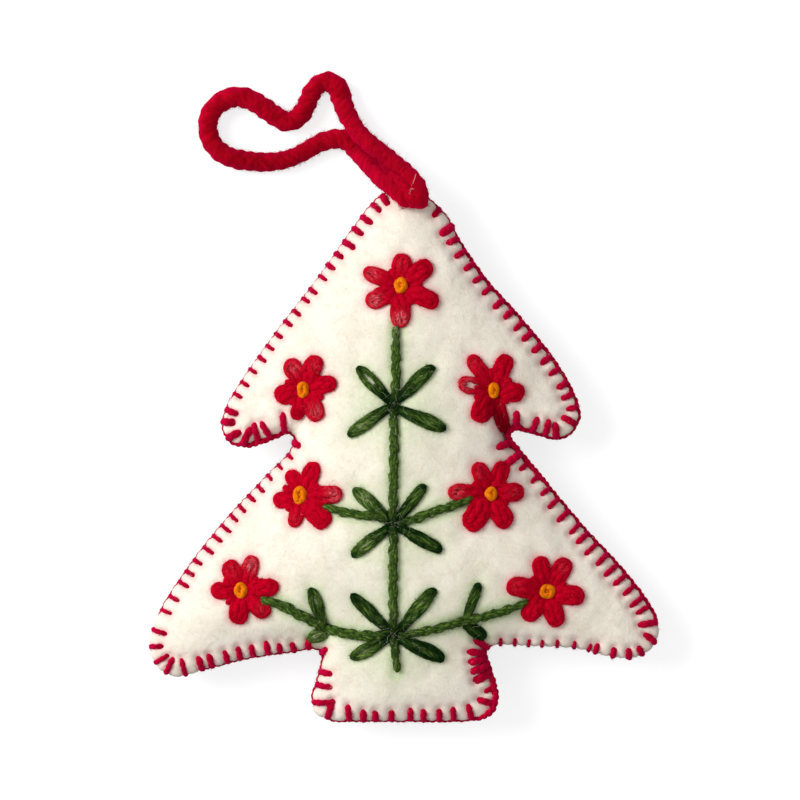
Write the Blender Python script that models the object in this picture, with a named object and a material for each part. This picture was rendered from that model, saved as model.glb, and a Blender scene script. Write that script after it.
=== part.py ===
"""Stuffed felt Christmas tree with a blanket-stitched edge, wool embroidery and a hanging loop.

The tree lies on its back: +X runs across it, +Y towards its tip and +Z out of its front.
The origin is under the middle of the tree, on the surface that the tree lies on.
All sizes are in metres.
"""
import math

import bmesh
import bpy
import numpy as np
from mathutils import Matrix, Vector
from mathutils.bvhtree import BVHTree
from mathutils.geometry import delaunay_2d_cdt

# Tree
TREE_WIDTH = 0.1126
TREE_HEIGHT = 0.1175
FRONT_DOME = 0.0100
BACK_DOME = 0.0072
FELT_THICKNESS = 0.0013
SEAM_GAP = 0.0003
REST_FLAT_DEPTH = 0.0005
STUFFING_CLEARANCE = 0.00045
FELT_STEP = 0.0046
PLUMPNESS = 0.6

# Blanket stitch round the edge
PURL_WIDTH = 0.0009
PURL_HEIGHT = 0.0012
PURL_CLEARANCE = 0.0004
STITCH_PITCH = 0.0036
LEG_LENGTH = 0.0046
LEG_WIDTH = 0.0011
LEG_THICKNESS = 0.0008

# Embroidery
YARN_CLEARANCE = 0.00035
STEM_DIAMETER = 0.0022
BRANCH_DIAMETER = 0.0018
STEM_STEP = 0.0040
LEAF_LENGTH = 0.0126
LEAF_WIDTH = 0.0034
LEAF_BASE_WIDTH = 0.0012
LEAF_HEIGHT = 0.0012
FLOWER_RADIUS = 0.0084
PETAL_HEIGHT = 0.0014
KNOT_LENGTH = 0.0037
KNOT_WIDTH = 0.0030
KNOT_HEIGHT = 0.0018

# Hanging loop
LOOP_DIAMETER = 0.0039
LOOP_STEP = 0.0039

# Smallest distance at which two points count as one
TOUCH = 0.000001

# Heights that follow from the sizes above
SEAM_LEVEL = BACK_DOME - REST_FLAT_DEPTH + FELT_THICKNESS + SEAM_GAP / 2
EDGE_INSET = PURL_WIDTH + PURL_CLEARANCE

# Outer edge of the stitched tree, anticlockwise from the tip: across, up
OUTLINE_SHARES = [
    (0.000, 0.500), (-0.031, 0.496), (-0.059, 0.478), (-0.100, 0.429), (-0.170, 0.335),
    (-0.246, 0.240), (-0.312, 0.152), (-0.348, 0.094), (-0.357, 0.052), (-0.340, 0.022),
    (-0.305, 0.015), (-0.258, 0.028), (-0.227, 0.039), (-0.217, 0.032), (-0.225, 0.009),
    (-0.266, -0.032), (-0.350, -0.118), (-0.418, -0.200), (-0.477, -0.287), (-0.498, -0.337),
    (-0.498, -0.374), (-0.477, -0.406), (-0.441, -0.418), (-0.389, -0.404), (-0.310, -0.384),
    (-0.223, -0.371), (-0.172, -0.365), (-0.162, -0.374), (-0.168, -0.406), (-0.182, -0.455),
    (-0.176, -0.485), (-0.145, -0.498), (-0.076, -0.500), (0.012, -0.500), (0.100, -0.500),
    (0.152, -0.494), (0.178, -0.474), (0.182, -0.444), (0.170, -0.399), (0.162, -0.369),
    (0.176, -0.360), (0.246, -0.361), (0.334, -0.365), (0.402, -0.380), (0.451, -0.382),
    (0.488, -0.361), (0.500, -0.328), (0.484, -0.285), (0.432, -0.217), (0.353, -0.135),
    (0.279, -0.051), (0.223, 0.013), (0.205, 0.039), (0.219, 0.047), (0.258, 0.037),
    (0.297, 0.028), (0.328, 0.041), (0.344, 0.071), (0.336, 0.107), (0.297, 0.174),
    (0.230, 0.255), (0.160, 0.330), (0.113, 0.397), (0.084, 0.448), (0.055, 0.476),
    (0.029, 0.492),
]

# Line of the stem, from the top flower down
STEM_SHARES = [
    (-0.006, 0.300), (-0.016, 0.235), (-0.016, 0.130), (-0.021, 0.030), (-0.022, -0.120),
    (-0.021, -0.250), (-0.018, -0.335), (-0.014, -0.400),
]

# Flower: place across and up, radius, and the direction of each petal in degrees
FLOWER_SHARES = {
    "top_flower": (-0.006, 0.318, 1.00),
    "upper_left_flower": (-0.198, 0.122, 0.84),
    "upper_right_flower": (0.176, 0.116, 0.88),
    "middle_left_flower": (-0.202, -0.073, 0.89),
    "middle_right_flower": (0.168, -0.069, 0.97),
    "lower_left_flower": (-0.319, -0.251, 0.92),
    "lower_right_flower": (0.283, -0.257, 1.00),
}
PETAL_DIRECTIONS = {
    "top_flower": (90, 155, 213, 266, 335, 402),
    "upper_left_flower": (68, 118, 192, 252, 294, 375),
    "upper_right_flower": (68, 123, 170, 247, 290, 355),
    "middle_left_flower": (67, 110, 190, 253, 308, 367),
    "middle_right_flower": (65, 115, 176, 237, 300, 361),
    "lower_left_flower": (70, 115, 180, 263, 316, 367),
    "lower_right_flower": (55, 107, 170, 229, 286, 350),
}

# Branch: line from the stem to its flower
BRANCH_SHARES = {
    "middle_left_branch": [(-0.022, -0.120), (-0.078, -0.109), (-0.113, -0.107), (-0.155, -0.092),
                           (-0.202, -0.073)],
    "middle_right_branch": [(-0.022, -0.120), (0.063, -0.107), (0.139, -0.086), (0.168, -0.069)],
    "lower_left_branch": [(-0.019, -0.333), (-0.100, -0.337), (-0.162, -0.326), (-0.219, -0.294),
                          (-0.270, -0.270), (-0.319, -0.251)],
    "lower_right_branch": [(-0.019, -0.333), (0.063, -0.326), (0.111, -0.317), (0.160, -0.307),
                           (0.240, -0.276), (0.283, -0.257)],
}
BRANCH_FLOWERS = {
    "middle_left_branch": "middle_left_flower",
    "middle_right_branch": "middle_right_flower",
    "lower_left_branch": "lower_left_flower",
    "lower_right_branch": "lower_right_flower",
}

# Point that a group of leaves grows from, and the yarn that passes through it in each direction
CLUSTER_SHARES = {
    "upper": (-0.020, 0.096),
    "middle": (-0.021, -0.120),
    "lower": (-0.019, -0.333),
    "left_branch": (-0.156, -0.327),
    "right_branch": (0.125, -0.315),
}
CLUSTER_YARNS = {
    "upper": ((90, STEM_DIAMETER), (270, STEM_DIAMETER)),
    "middle": (
        (90, STEM_DIAMETER), (270, STEM_DIAMETER), (172, BRANCH_DIAMETER), (10, BRANCH_DIAMETER),
    ),
    "lower": (
        (90, STEM_DIAMETER), (270, STEM_DIAMETER), (182, BRANCH_DIAMETER), (6, BRANCH_DIAMETER),
    ),
    "left_branch": ((150, BRANCH_DIAMETER), (356, BRANCH_DIAMETER)),
    "right_branch": ((12, BRANCH_DIAMETER), (192, BRANCH_DIAMETER)),
}
# Leaf: its cluster, its direction in degrees, and how far its tip reaches
LEAF_SHARES = {
    "upper_leaf_left_high": ("upper", 133, 0.89),
    "upper_leaf_right_high": ("upper", 43, 0.96),
    "upper_leaf_left_low": ("upper", 214, 0.96),
    "upper_leaf_right_low": ("upper", -26, 1.00),
    "middle_leaf_left_high": ("middle", 140, 0.87),
    "middle_leaf_right_high": ("middle", 48, 0.82),
    "middle_leaf_left_low": ("middle", 222, 0.96),
    "middle_leaf_right_low": ("middle", -34, 1.00),
    "lower_leaf_left_high": ("lower", 137, 1.02),
    "lower_leaf_right_high": ("lower", 48, 1.02),
    "lower_leaf_left_low": ("lower", 212, 0.89),
    "lower_leaf_right_low": ("lower", -28, 0.94),
    "left_branch_leaf_high": ("left_branch", 108, 0.75),
    "left_branch_leaf_low": ("left_branch", 196, 0.46),
    "right_branch_leaf_high": ("right_branch", 77, 0.79),
    "right_branch_leaf_low": ("right_branch", -32, 0.46),
}
# Leaf outline: distance along it, and width between the base and the full width
LEAF_STATION_SHARES = [(0.0, 0.0), (0.3, 0.6), (0.62, 1.0), (0.88, 0.72), (1.0, 0.05)]
LEAF_CROWN_SHARE = 0.55

# Flower outline: half the spread of a petal's shoulders in degrees
SHOULDER_SPREAD = 16
SHOULDER_SHARE = 0.88
NOTCH_SHARE = 0.36
FLOWER_EYE_SHARE = 0.20
# Height of the yarn from the eye outwards: along a petal, at its shoulder, and between petals
CROWN_SHARES = {
    "tip": (0.60, 1.00, 0.45),
    "shoulder": (0.60, 0.75, 0.40),
    "notch": (0.60, 0.45, 0.35),
}

# Route of the hanging loop, from its right end on the tip, round, to its left end
LOOP_ROUTE = [
    (0.0041, 0.0554, 0.0140), (0.0037, 0.0577, 0.0134), (0.0025, 0.0601, 0.0125),
    (0.0005, 0.0622, 0.0114), (-0.0021, 0.0644, 0.0101), (-0.0047, 0.0665, 0.0088),
    (-0.0073, 0.0687, 0.0074), (-0.0095, 0.0712, 0.0060), (-0.0111, 0.0738, 0.0045),
    (-0.0123, 0.0765, 0.0034), (-0.0132, 0.0792, 0.0025), (-0.0142, 0.0815, 0.0021),
    (-0.0158, 0.0830, 0.0020), (-0.0182, 0.0833, 0.0020), (-0.0203, 0.0818, 0.0020),
    (-0.0214, 0.0791, 0.0020), (-0.0222, 0.0764, 0.0020), (-0.0237, 0.0744, 0.0020),
    (-0.0260, 0.0738, 0.0020), (-0.0285, 0.0748, 0.0020), (-0.0310, 0.0766, 0.0020),
    (-0.0339, 0.0783, 0.0020), (-0.0370, 0.0790, 0.0020), (-0.0400, 0.0781, 0.0020),
    (-0.0425, 0.0759, 0.0020), (-0.0434, 0.0728, 0.0020), (-0.0427, 0.0695, 0.0020),
    (-0.0406, 0.0669, 0.0020), (-0.0376, 0.0655, 0.0020), (-0.0339, 0.0649, 0.0020),
    (-0.0299, 0.0647, 0.0020), (-0.0260, 0.0653, 0.0020), (-0.0222, 0.0669, 0.0020),
    (-0.0187, 0.0686, 0.0020), (-0.0154, 0.0693, 0.0020), (-0.0125, 0.0689, 0.0021),
    (-0.0106, 0.0673, 0.0029), (-0.0088, 0.0650, 0.0048), (-0.0070, 0.0627, 0.0074),
    (-0.0051, 0.0603, 0.0101), (-0.0027, 0.0580, 0.0124), (-0.0004, 0.0554, 0.0140),
]

# Steps into which a smooth line between two of its points is divided
SPAN_STEPS = 8
# Readings of the edge's direction in one stitch, and how far apart two of them are taken
STITCH_READING_COUNT = 12
NEAR_READING_COUNT = 2
WIDE_READING_COUNT = 10
# Readings of the loop's place in one diameter, and the diameters along it that make a bend
LOOP_READING_COUNT = 10
BEND_DIAMETER_COUNT = 3
# Share of the inset below which a moved point has come too near the old line
INSET_SHARE = 0.98
# Share of the felt's step that its points keep from its edge
EDGE_ROOM_SHARE = 0.6
# Turn of the felt's edge, in degrees, that takes one more point
BEND_PER_POINT = 45
# Share of its clearance that a yarn keeps between the points that are laid on the felt
SETTLED_SHARE = 0.7


# Lines on the felt

def smooth_span(before, start, end, after):
    """Return points of a smooth line from start up to, but without, end."""
    knots = [0.0]
    for here, there in ((before, start), (start, end), (end, after)):
        knots.append(knots[-1] + max(np.linalg.norm(there - here), TOUCH) ** 0.5)
    t0, t1, t2, t3 = knots
    points = []
    for step in range(SPAN_STEPS):
        t = t1 + (t2 - t1) * step / SPAN_STEPS
        a1 = before + (start - before) * (t - t0) / (t1 - t0)
        a2 = start + (end - start) * (t - t1) / (t2 - t1)
        a3 = end + (after - end) * (t - t2) / (t3 - t2)
        b1 = a1 + (a2 - a1) * (t - t0) / (t2 - t0)
        b2 = a2 + (a3 - a2) * (t - t1) / (t3 - t1)
        points.append(b1 + (b2 - b1) * (t - t1) / (t2 - t1))
    return points


def smooth_line(points, closed=False):
    """Return a dense smooth line through the points."""
    points = np.array(points, dtype=float)
    count = len(points)
    if closed:
        quads = [[points[(i + k) % count] for k in (-1, 0, 1, 2)] for i in range(count)]
    else:
        first = 2 * points[0] - points[1]
        last = 2 * points[-1] - points[-2]
        longer = [first, *points, last]
        quads = [longer[i:i + 4] for i in range(count - 1)]
    line = [point for quad in quads for point in smooth_span(*quad)]
    if not closed:
        line.append(points[-1])
    return np.array(line)


def spaced(line, step, closed=False):
    """Return evenly spaced points of a line, about one step apart."""
    if closed:
        line = np.vstack([line, line[:1]])
    lengths = np.linalg.norm(np.diff(line, axis=0), axis=1)
    along = np.concatenate([[0.0], np.cumsum(lengths)])
    count = max(3, round(along[-1] / step))
    places = np.linspace(0.0, along[-1], count + 1)
    if closed:
        places = places[:-1]
    return np.column_stack([np.interp(places, along, line[:, k]) for k in range(line.shape[1])])


def spaced_by_bend(line, step):
    """Return points of a closed line, a step apart where it is straight and closer in its bends."""
    ahead = np.roll(line, -1, axis=0) - line
    lengths = np.linalg.norm(ahead, axis=1)
    headings = np.arctan2(ahead[:, 1], ahead[:, 0])
    turns = (np.roll(headings, -1) - headings + math.pi) % (2 * math.pi) - math.pi
    weights = lengths / step + np.abs(turns) / math.radians(BEND_PER_POINT)
    along = np.concatenate([[0.0], np.cumsum(weights)])
    places = np.linspace(0.0, along[-1], math.ceil(along[-1]) + 1)[:-1]
    line = np.vstack([line, line[:1]])
    return np.column_stack([np.interp(places, along, line[:, k]) for k in range(2)])


def inward(line, reach):
    """Return the inward direction at each point of a closed line, read over reach points."""
    tangent = np.roll(line, -reach, axis=0) - np.roll(line, reach, axis=0)
    normal = np.column_stack([-tangent[:, 1], tangent[:, 0]])
    return normal / np.linalg.norm(normal, axis=1)[:, None]


def inset(line, distance):
    """Return a closed line moved inwards, without the points that come too near the old one."""
    moved = line + inward(line, 1) * distance
    gaps = np.linalg.norm(moved[:, None, :] - line[None, :, :], axis=2).min(axis=1)
    return moved[gaps > distance * INSET_SHARE]


def distance_to_line(point, line):
    """Return the distance from a point to the nearest point of a dense line."""
    return np.linalg.norm(line - np.array(point), axis=1).min()


def inside(point, line):
    """Tell whether a point lies within a closed line."""
    x, y = point
    x1, y1 = line[:, 0], line[:, 1]
    x2, y2 = np.roll(x1, -1), np.roll(y1, -1)
    spans = (y1 > y) != (y2 > y)
    rise = np.where(spans, y2 - y1, 1.0)
    crossings = x < x1 + (y - y1) * (x2 - x1) / rise
    return np.count_nonzero(spans & crossings) % 2 == 1


def on_tree(shares):
    """Return places on the tree from their shares of its width and height."""
    return np.array(shares, dtype=float) * (TREE_WIDTH, TREE_HEIGHT)


def direction(degrees):
    """Return the unit direction of an angle measured from +X towards +Y."""
    return np.array([math.cos(math.radians(degrees)), math.sin(math.radians(degrees))])


# Objects

def add_material(name, colour, roughness):
    """Return a plain material of one colour."""
    material = bpy.data.materials.new(name)
    material.use_nodes = True
    shader = material.node_tree.nodes["Principled BSDF"]
    shader.inputs["Base Color"].default_value = (*colour, 1)
    shader.inputs["Roughness"].default_value = roughness
    shader.inputs["Metallic"].default_value = 0
    material.diffuse_color = (*colour, 1)
    return material


def add_object(name, data, material, tree):
    """Put a mesh or curve in the tree's collection, under its empty."""
    data.materials.append(material)
    piece = bpy.data.objects.new(name, data)
    tree["collection"].objects.link(piece)
    piece.parent = tree["frame"]
    return piece


def add_solid(name, bm, material, tree):
    """Turn a finished solid into a smooth-shaded object."""
    bmesh.ops.recalc_face_normals(bm, faces=bm.faces)
    mesh = bpy.data.meshes.new(name)
    bm.to_mesh(mesh)
    bm.free()
    mesh.shade_smooth()
    return add_object(name, mesh, material, tree)


def add_yarn(name, points, diameter, resolution, material, tree):
    """Lay a round yarn through the points, with flat ends."""
    curve = bpy.data.curves.new(name, "CURVE")
    curve.dimensions = "3D"
    curve.bevel_depth = diameter / 2
    curve.bevel_resolution = resolution
    curve.use_fill_caps = True
    spline = curve.splines.new("POLY")
    spline.points.add(len(points) - 1)
    for knot, place in zip(spline.points, points):
        knot.co = (*place, 1)
    return add_object(name, curve, material, tree)


def thicken(bm, offsets):
    """Close an open sheet into a solid, whose second face stands off by each vertex's offset."""
    layer = bm.verts.layers.float_vector.new("offset")
    for vertex, offset in zip(bm.verts, offsets):
        vertex[layer] = offset
    skin = bmesh.ops.extrude_face_region(bm, geom=bm.faces[:], use_keep_orig=True)
    for item in skin["geom"]:
        if isinstance(item, bmesh.types.BMVert):
            item.co += item[layer]
    bmesh.ops.recalc_face_normals(bm, faces=bm.faces)


# Felt panels and stuffing

def felt_sheet(edge):
    """Return points, triangles and edge flags of a flat sheet cut to the edge."""
    line = spaced_by_bend(edge, FELT_STEP)
    row_step = FELT_STEP * math.sin(math.radians(60))
    rows = math.ceil(TREE_HEIGHT / row_step / 2)
    columns = math.ceil(TREE_WIDTH / FELT_STEP / 2)
    middle = []
    for row in range(-rows, rows + 1):
        for column in range(-columns, columns + 1):
            point = ((column + row % 2 / 2) * FELT_STEP, row * row_step)
            if inside(point, edge) and distance_to_line(point, edge) > FELT_STEP * EDGE_ROOM_SHARE:
                middle.append(point)
    corners = [Vector(point) for point in (*line, *middle)]
    ring = [(i, (i + 1) % len(line)) for i in range(len(line))]
    places, _, triangles, origins, _, _ = delaunay_2d_cdt(corners, ring, [], 1, TOUCH)
    on_edge = np.array([any(i < len(line) for i in origin) for origin in origins])
    return np.array([place[:] for place in places]), triangles, on_edge


def dome_shares(count, triangles, on_edge):
    """Return the height of each point under an even pressure, as a share of the highest."""
    links = np.zeros((count, count))
    for a, b, c in triangles:
        for i, j in ((a, b), (b, c), (c, a)):
            links[i, j] = links[j, i] = 1
    free = ~on_edge
    pull = np.diag(links.sum(axis=1)) - links
    height = np.zeros(count)
    height[free] = np.linalg.solve(pull[np.ix_(free, free)], np.ones(np.count_nonzero(free)))
    return (height / height.max()) ** PLUMPNESS


def sheet_mesh(places, heights, triangles):
    """Return a mesh of the sheet with each point at its height."""
    bm = bmesh.new()
    vertices = [bm.verts.new((*place, height)) for place, height in zip(places, heights)]
    for triangle in triangles:
        bm.faces.new([vertices[i] for i in triangle])
    for vertex in [vertex for vertex in bm.verts if not vertex.link_faces]:
        bm.verts.remove(vertex)
    bm.verts.index_update()
    bm.normal_update()
    return bm


def felt_panel(sheet, rises, side):
    """Return one domed felt panel; side is 1 for the front and -1 for the back."""
    places, triangles, _ = sheet
    bm = sheet_mesh(places, SEAM_LEVEL + side * (SEAM_GAP / 2 + rises), triangles)
    offsets = []
    for vertex in bm.verts:
        normal = vertex.normal if vertex.normal.z > 0 else -vertex.normal
        if vertex.is_boundary:
            normal = Vector((0, 0, 1))
        offsets.append(normal * side * FELT_THICKNESS)
    thicken(bm, offsets)
    return bm


def stuffing_solid(sheet, front_rises, back_rises):
    """Return the filling between the panels, one row of points inside their edge."""
    places, triangles, on_edge = sheet
    middle = [triangle for triangle in triangles if not any(on_edge[i] for i in triangle)]
    top = SEAM_LEVEL + SEAM_GAP / 2 + front_rises - STUFFING_CLEARANCE
    bottom = SEAM_LEVEL - SEAM_GAP / 2 - back_rises + STUFFING_CLEARANCE
    bm = bmesh.new()
    vertices = {}
    drops = []
    for i in sorted({i for triangle in middle for i in triangle}):
        vertices[i] = bm.verts.new((*places[i], top[i]))
        drops.append(Vector((0, 0, bottom[i] - top[i])))
    for triangle in middle:
        bm.faces.new([vertices[i] for i in triangle])
    thicken(bm, drops)
    return bm


class Skin:
    """The outer face of a panel, which finds the felt under a place on the tree."""

    def __init__(self, bm, side):
        self.tree = BVHTree.FromBMesh(bm)
        self.side = side

    def under(self, place):
        """Return the point of the felt at a place, and its outward direction, or None."""
        start = Vector((place[0], place[1], SEAM_LEVEL + self.side * TREE_HEIGHT))
        point, normal, _, _ = self.tree.ray_cast(start, Vector((0, 0, -self.side)))
        if point is None:
            return None
        return point, normal if normal.z * self.side > 0 else -normal

    def above(self, place, lift):
        """Return the point that stands off the felt at a place by the lift."""
        point, normal = self.under(place)
        return point + normal * lift

    def shortfall(self, point, lift):
        """Return how much nearer than the lift a point lies to the felt."""
        near = self.tree.find_nearest(point)[0]
        gap = (point - near).length
        under = self.under(point)
        if under is not None and (point.z - under[0].z) * self.side < 0:
            gap = -gap
        return lift - gap


# Blanket stitch

def stitch_lengths(starts, ways, embroidery):
    """Return how far each leg reaches over the felt, so that it clears its neighbours."""
    lengths = []
    count = len(starts)
    for i in range(count):
        length = LEG_LENGTH
        for j in ((i - 1) % count, (i + 1) % count):
            turn = math.acos(max(-1.0, min(1.0, float(ways[i] @ ways[j]))))
            toward = (starts[j] - starts[i]) @ (ways[i] - ways[j]) > 0
            spread = np.linalg.norm(starts[j] - starts[i]) - LEG_WIDTH - YARN_CLEARANCE
            if toward and turn > TOUCH:
                length = min(length, max(spread, TOUCH) / turn)
        clear = (BRANCH_DIAMETER + LEG_WIDTH) / 2 + YARN_CLEARANCE
        while length > 0 and distance_to_line(starts[i] + ways[i] * length, embroidery) < clear:
            length -= LEG_WIDTH / 4
        lengths.append(length)
    return lengths


def leg_lift(skin, start, way, length, side, edge_level):
    """Return how much the straight leg must rise to clear the felt bulging under it."""
    across = np.array([-way[1], way[0]])
    end = skin.under(start + way * length)
    if end is None:
        return None, TOUCH
    end_level = end[0].z + side * YARN_CLEARANCE
    lift = 0.0
    for share in np.linspace(0, 1, 7):
        level = edge_level + (end_level - edge_level) * share
        along = start + way * (PURL_WIDTH + (length - PURL_WIDTH) * share)
        for offset in (-LEG_WIDTH / 2, 0.0, LEG_WIDTH / 2):
            felt = skin.under(along + across * offset)
            if felt is not None:
                lift = max(lift, side * (felt[0].z - level) + YARN_CLEARANCE)
    return end_level, lift


def loft_ring(bm, sections):
    """Return the faces of a closed ring through equal sections, by section and side."""
    rows = [[bm.verts.new(point) for point in section] for section in sections]
    faces = []
    for here, there in zip(rows, rows[1:] + rows[:1]):
        ends = list(zip(here, here[1:] + here[:1], there[1:] + there[:1], there))
        faces.append([bm.faces.new(corners) for corners in ends])
    return faces


def extend_face(bm, face, places):
    """Extrude one face to new places, given in the order of its corners."""
    grown = bmesh.ops.extrude_discrete_faces(bm, faces=[face])["faces"][0]
    for vertex, place in zip(grown.verts, places):
        vertex.co = place
    return grown


def add_leg(bm, face, skin, start, way, length, side):
    """Grow one leg of a stitch from the purl, over the edge of the felt and across it."""
    edge_level = SEAM_LEVEL + side * (SEAM_GAP / 2 + FELT_THICKNESS + YARN_CLEARANCE)
    end_level, lift = leg_lift(skin, start, way, length, side, edge_level)
    if end_level is None:
        return
    lower = edge_level + side * lift
    across = np.array([-way[1], way[0]]) * LEG_WIDTH / 2
    corner_places, end_places = [], []
    for vertex in face.verts:
        place = np.array(vertex.co[:2])
        outer = (place - start) @ way < PURL_WIDTH / 2
        hand = 1 if (place - start) @ across > 0 else -1
        rise = side * LEG_THICKNESS if outer else 0.0
        corner_places.append((*place, lower + rise))
        end_places.append((*(start + way * length + across * hand), end_level + side * lift + rise))
    corner = extend_face(bm, face, corner_places)
    extend_face(bm, corner, end_places)


def edge_stitch_solid(edge, front, back, loop, embroidery):
    """Return the purl yarn round the edge with a leg over each panel at every stitch."""
    stitches = spaced(edge, STITCH_PITCH, closed=True)
    reading_step = STITCH_PITCH / STITCH_READING_COUNT
    dense = spaced(edge, reading_step, closed=True)
    ways_near = inward(dense, NEAR_READING_COUNT)
    ways_wide = inward(dense, WIDE_READING_COUNT)
    nearest = [int(np.linalg.norm(dense - place, axis=1).argmin()) for place in stitches]
    half = max(1, round(LEG_WIDTH / 2 / reading_step))
    sections = []
    for index in nearest:
        for step in (-half, half):
            k = (index + step) % len(dense)
            outer, inner = dense[k], dense[k] + ways_near[k] * PURL_WIDTH
            low, high = SEAM_LEVEL - PURL_HEIGHT / 2, SEAM_LEVEL + PURL_HEIGHT / 2
            sections.append([(*outer, low), (*outer, high), (*inner, high), (*inner, low)])
    bm = bmesh.new()
    faces = loft_ring(bm, sections)
    starts = [dense[k] for k in nearest]
    ways = [ways_wide[k] for k in nearest]
    lengths = stitch_lengths(starts, ways, embroidery)
    reach = (LOOP_DIAMETER + LEG_WIDTH) / 2 + YARN_CLEARANCE
    for i, (start, way, length) in enumerate(zip(starts, ways, lengths)):
        if length < EDGE_INSET + LEG_WIDTH / 2:
            continue
        top, bottom = faces[2 * i][1], faces[2 * i][3]
        marks = [start + way * length * share for share in (0, 0.5, 1)]
        if min(distance_to_line(mark, loop) for mark in marks) > reach:
            add_leg(bm, top, front, start, way, length, 1)
        add_leg(bm, bottom, back, start, way, length, -1)
    return bm


# Embroidery

def lay_sheet(bm, skin, heights):
    """Lay a flat shape on the felt and thicken it to the height given for each vertex."""
    offsets = []
    for vertex, height in zip(bm.verts, heights):
        point, normal = skin.under(vertex.co)
        vertex.co = point + normal * YARN_CLEARANCE
        offsets.append(normal * height)
    corners = [list(item.verts) for item in (*bm.edges, *bm.faces)]
    for _ in range(SPAN_STEPS):
        for group in corners:
            middle = sum((vertex.co for vertex in group), Vector()) / len(group)
            rise = max(0.0, skin.shortfall(middle, YARN_CLEARANCE * SETTLED_SHARE))
            for vertex in group:
                vertex.co.z += rise
    thicken(bm, offsets)


def petal_corners(degrees, reach):
    """Return the kind, direction and reach of a petal's two shoulders and its tip."""
    return [
        ("shoulder", degrees - SHOULDER_SPREAD, reach * SHOULDER_SHARE),
        ("tip", degrees, reach),
        ("shoulder", degrees + SHOULDER_SPREAD, reach * SHOULDER_SHARE),
    ]


def petal_reach(name, degrees, edge):
    """Return how far a petal reaches from its flower's middle, clear of the tree's edge."""
    middle = on_tree(FLOWER_SHARES[name][:2])
    clear = EDGE_INSET + YARN_CLEARANCE
    reach = FLOWER_RADIUS * FLOWER_SHARES[name][2]
    gap = 0.0
    while gap < clear:
        corners = [middle + direction(turn) * far for _, turn, far in petal_corners(degrees, reach)]
        gap = min(distance_to_line(corner, edge) for corner in corners)
        if gap < clear:
            reach -= YARN_CLEARANCE
    return reach


def flower_outline(name, edge):
    """Return the kind, direction and reach of each point round a flower."""
    turns = PETAL_DIRECTIONS[name]
    outline = []
    for here, there in zip(turns, (*turns[1:], turns[0] + 360)):
        outline.extend(petal_corners(here, petal_reach(name, here, edge)))
        notch = FLOWER_RADIUS * FLOWER_SHARES[name][2] * NOTCH_SHARE
        outline.append(("notch", (here + there) / 2, notch))
    return outline


def petal_line(name, edge):
    """Return a flower's outline on the tree as a dense closed line."""
    middle = on_tree(FLOWER_SHARES[name][:2])
    outline = flower_outline(name, edge)
    corners = [middle + direction(degrees) * reach for _, degrees, reach in outline]
    return spaced(np.array(corners), BRANCH_DIAMETER / 4, closed=True)


def flower_solid(name, skin, edge):
    """Return one flower, fanned out from its middle in three rings."""
    across, up, share = FLOWER_SHARES[name]
    middle = on_tree((across, up))
    eye = FLOWER_RADIUS * share * FLOWER_EYE_SHARE
    outline = flower_outline(name, edge)
    bm = bmesh.new()
    disc = bmesh.ops.create_circle(bm, cap_ends=True, cap_tris=True, segments=len(outline), radius=1)
    for ring in (2, 3):
        rim = [edge for edge in bm.edges if edge.is_boundary]
        grown = bmesh.ops.extrude_edge_only(bm, edges=rim)["geom"]
        for vertex in grown:
            if isinstance(vertex, bmesh.types.BMVert):
                vertex.co = vertex.co.normalized() * ring
    heights = []
    for vertex in bm.verts:
        ring = round(vertex.co.length)
        if ring == 0:
            vertex.co = (*middle, 0)
            heights.append(PETAL_HEIGHT * CROWN_SHARES["tip"][0])
            continue
        turn = math.atan2(vertex.co.y, vertex.co.x) / (2 * math.pi)
        kind, degrees, reach = outline[round(turn * len(outline)) % len(outline)]
        radius = eye + (reach - eye) * (ring - 1) / 2
        vertex.co = (*(middle + direction(degrees) * radius), 0)
        heights.append(PETAL_HEIGHT * CROWN_SHARES[kind][ring - 1])
    lay_sheet(bm, skin, heights)
    return bm


def knot_solid(name, skin):
    """Return the knot of a flower as an oval bead, and the frame that seats it on the petals."""
    across, up, _ = FLOWER_SHARES[name]
    point, normal = skin.under(on_tree((across, up)))
    lift = YARN_CLEARANCE * 2 + PETAL_HEIGHT * CROWN_SHARES["tip"][0] + KNOT_HEIGHT / 2
    bm = bmesh.new()
    bmesh.ops.create_uvsphere(bm, u_segments=8, v_segments=6, radius=1)
    size = Matrix.Diagonal((KNOT_WIDTH / 2, KNOT_LENGTH / 2, KNOT_HEIGHT / 2))
    bmesh.ops.transform(bm, matrix=size.to_4x4(), verts=bm.verts)
    turn = Vector((0, 0, 1)).rotation_difference(normal)
    return bm, Matrix.LocRotScale(point + normal * lift, turn, None)


def leaf_start(cluster, degrees):
    """Return how far from its cluster a leaf begins, clear of the yarns and leaves beside it."""
    beside = list(CLUSTER_YARNS[cluster])
    for other, angle, _ in LEAF_SHARES.values():
        if other == cluster and angle != degrees:
            beside.append((angle, LEAF_BASE_WIDTH))
    start = 0.0
    for angle, width in beside:
        turn = abs((angle - degrees + 180) % 360 - 180)
        spread = math.sin(math.radians(min(turn, 90)))
        start = max(start, ((LEAF_BASE_WIDTH + width) / 2 + YARN_CLEARANCE) / spread)
    return start


def leaf_reach(name, edge):
    """Return how far a leaf's tip reaches from its cluster, clear of the tree's edge."""
    cluster, degrees, reach_share = LEAF_SHARES[name]
    root = on_tree(CLUSTER_SHARES[cluster])
    clear = EDGE_INSET + LEAF_BASE_WIDTH / 2 + YARN_CLEARANCE
    reach = LEAF_LENGTH * reach_share
    while distance_to_line(root + direction(degrees) * reach, edge) < clear:
        reach -= LEAF_WIDTH / 8
    return reach


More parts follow.
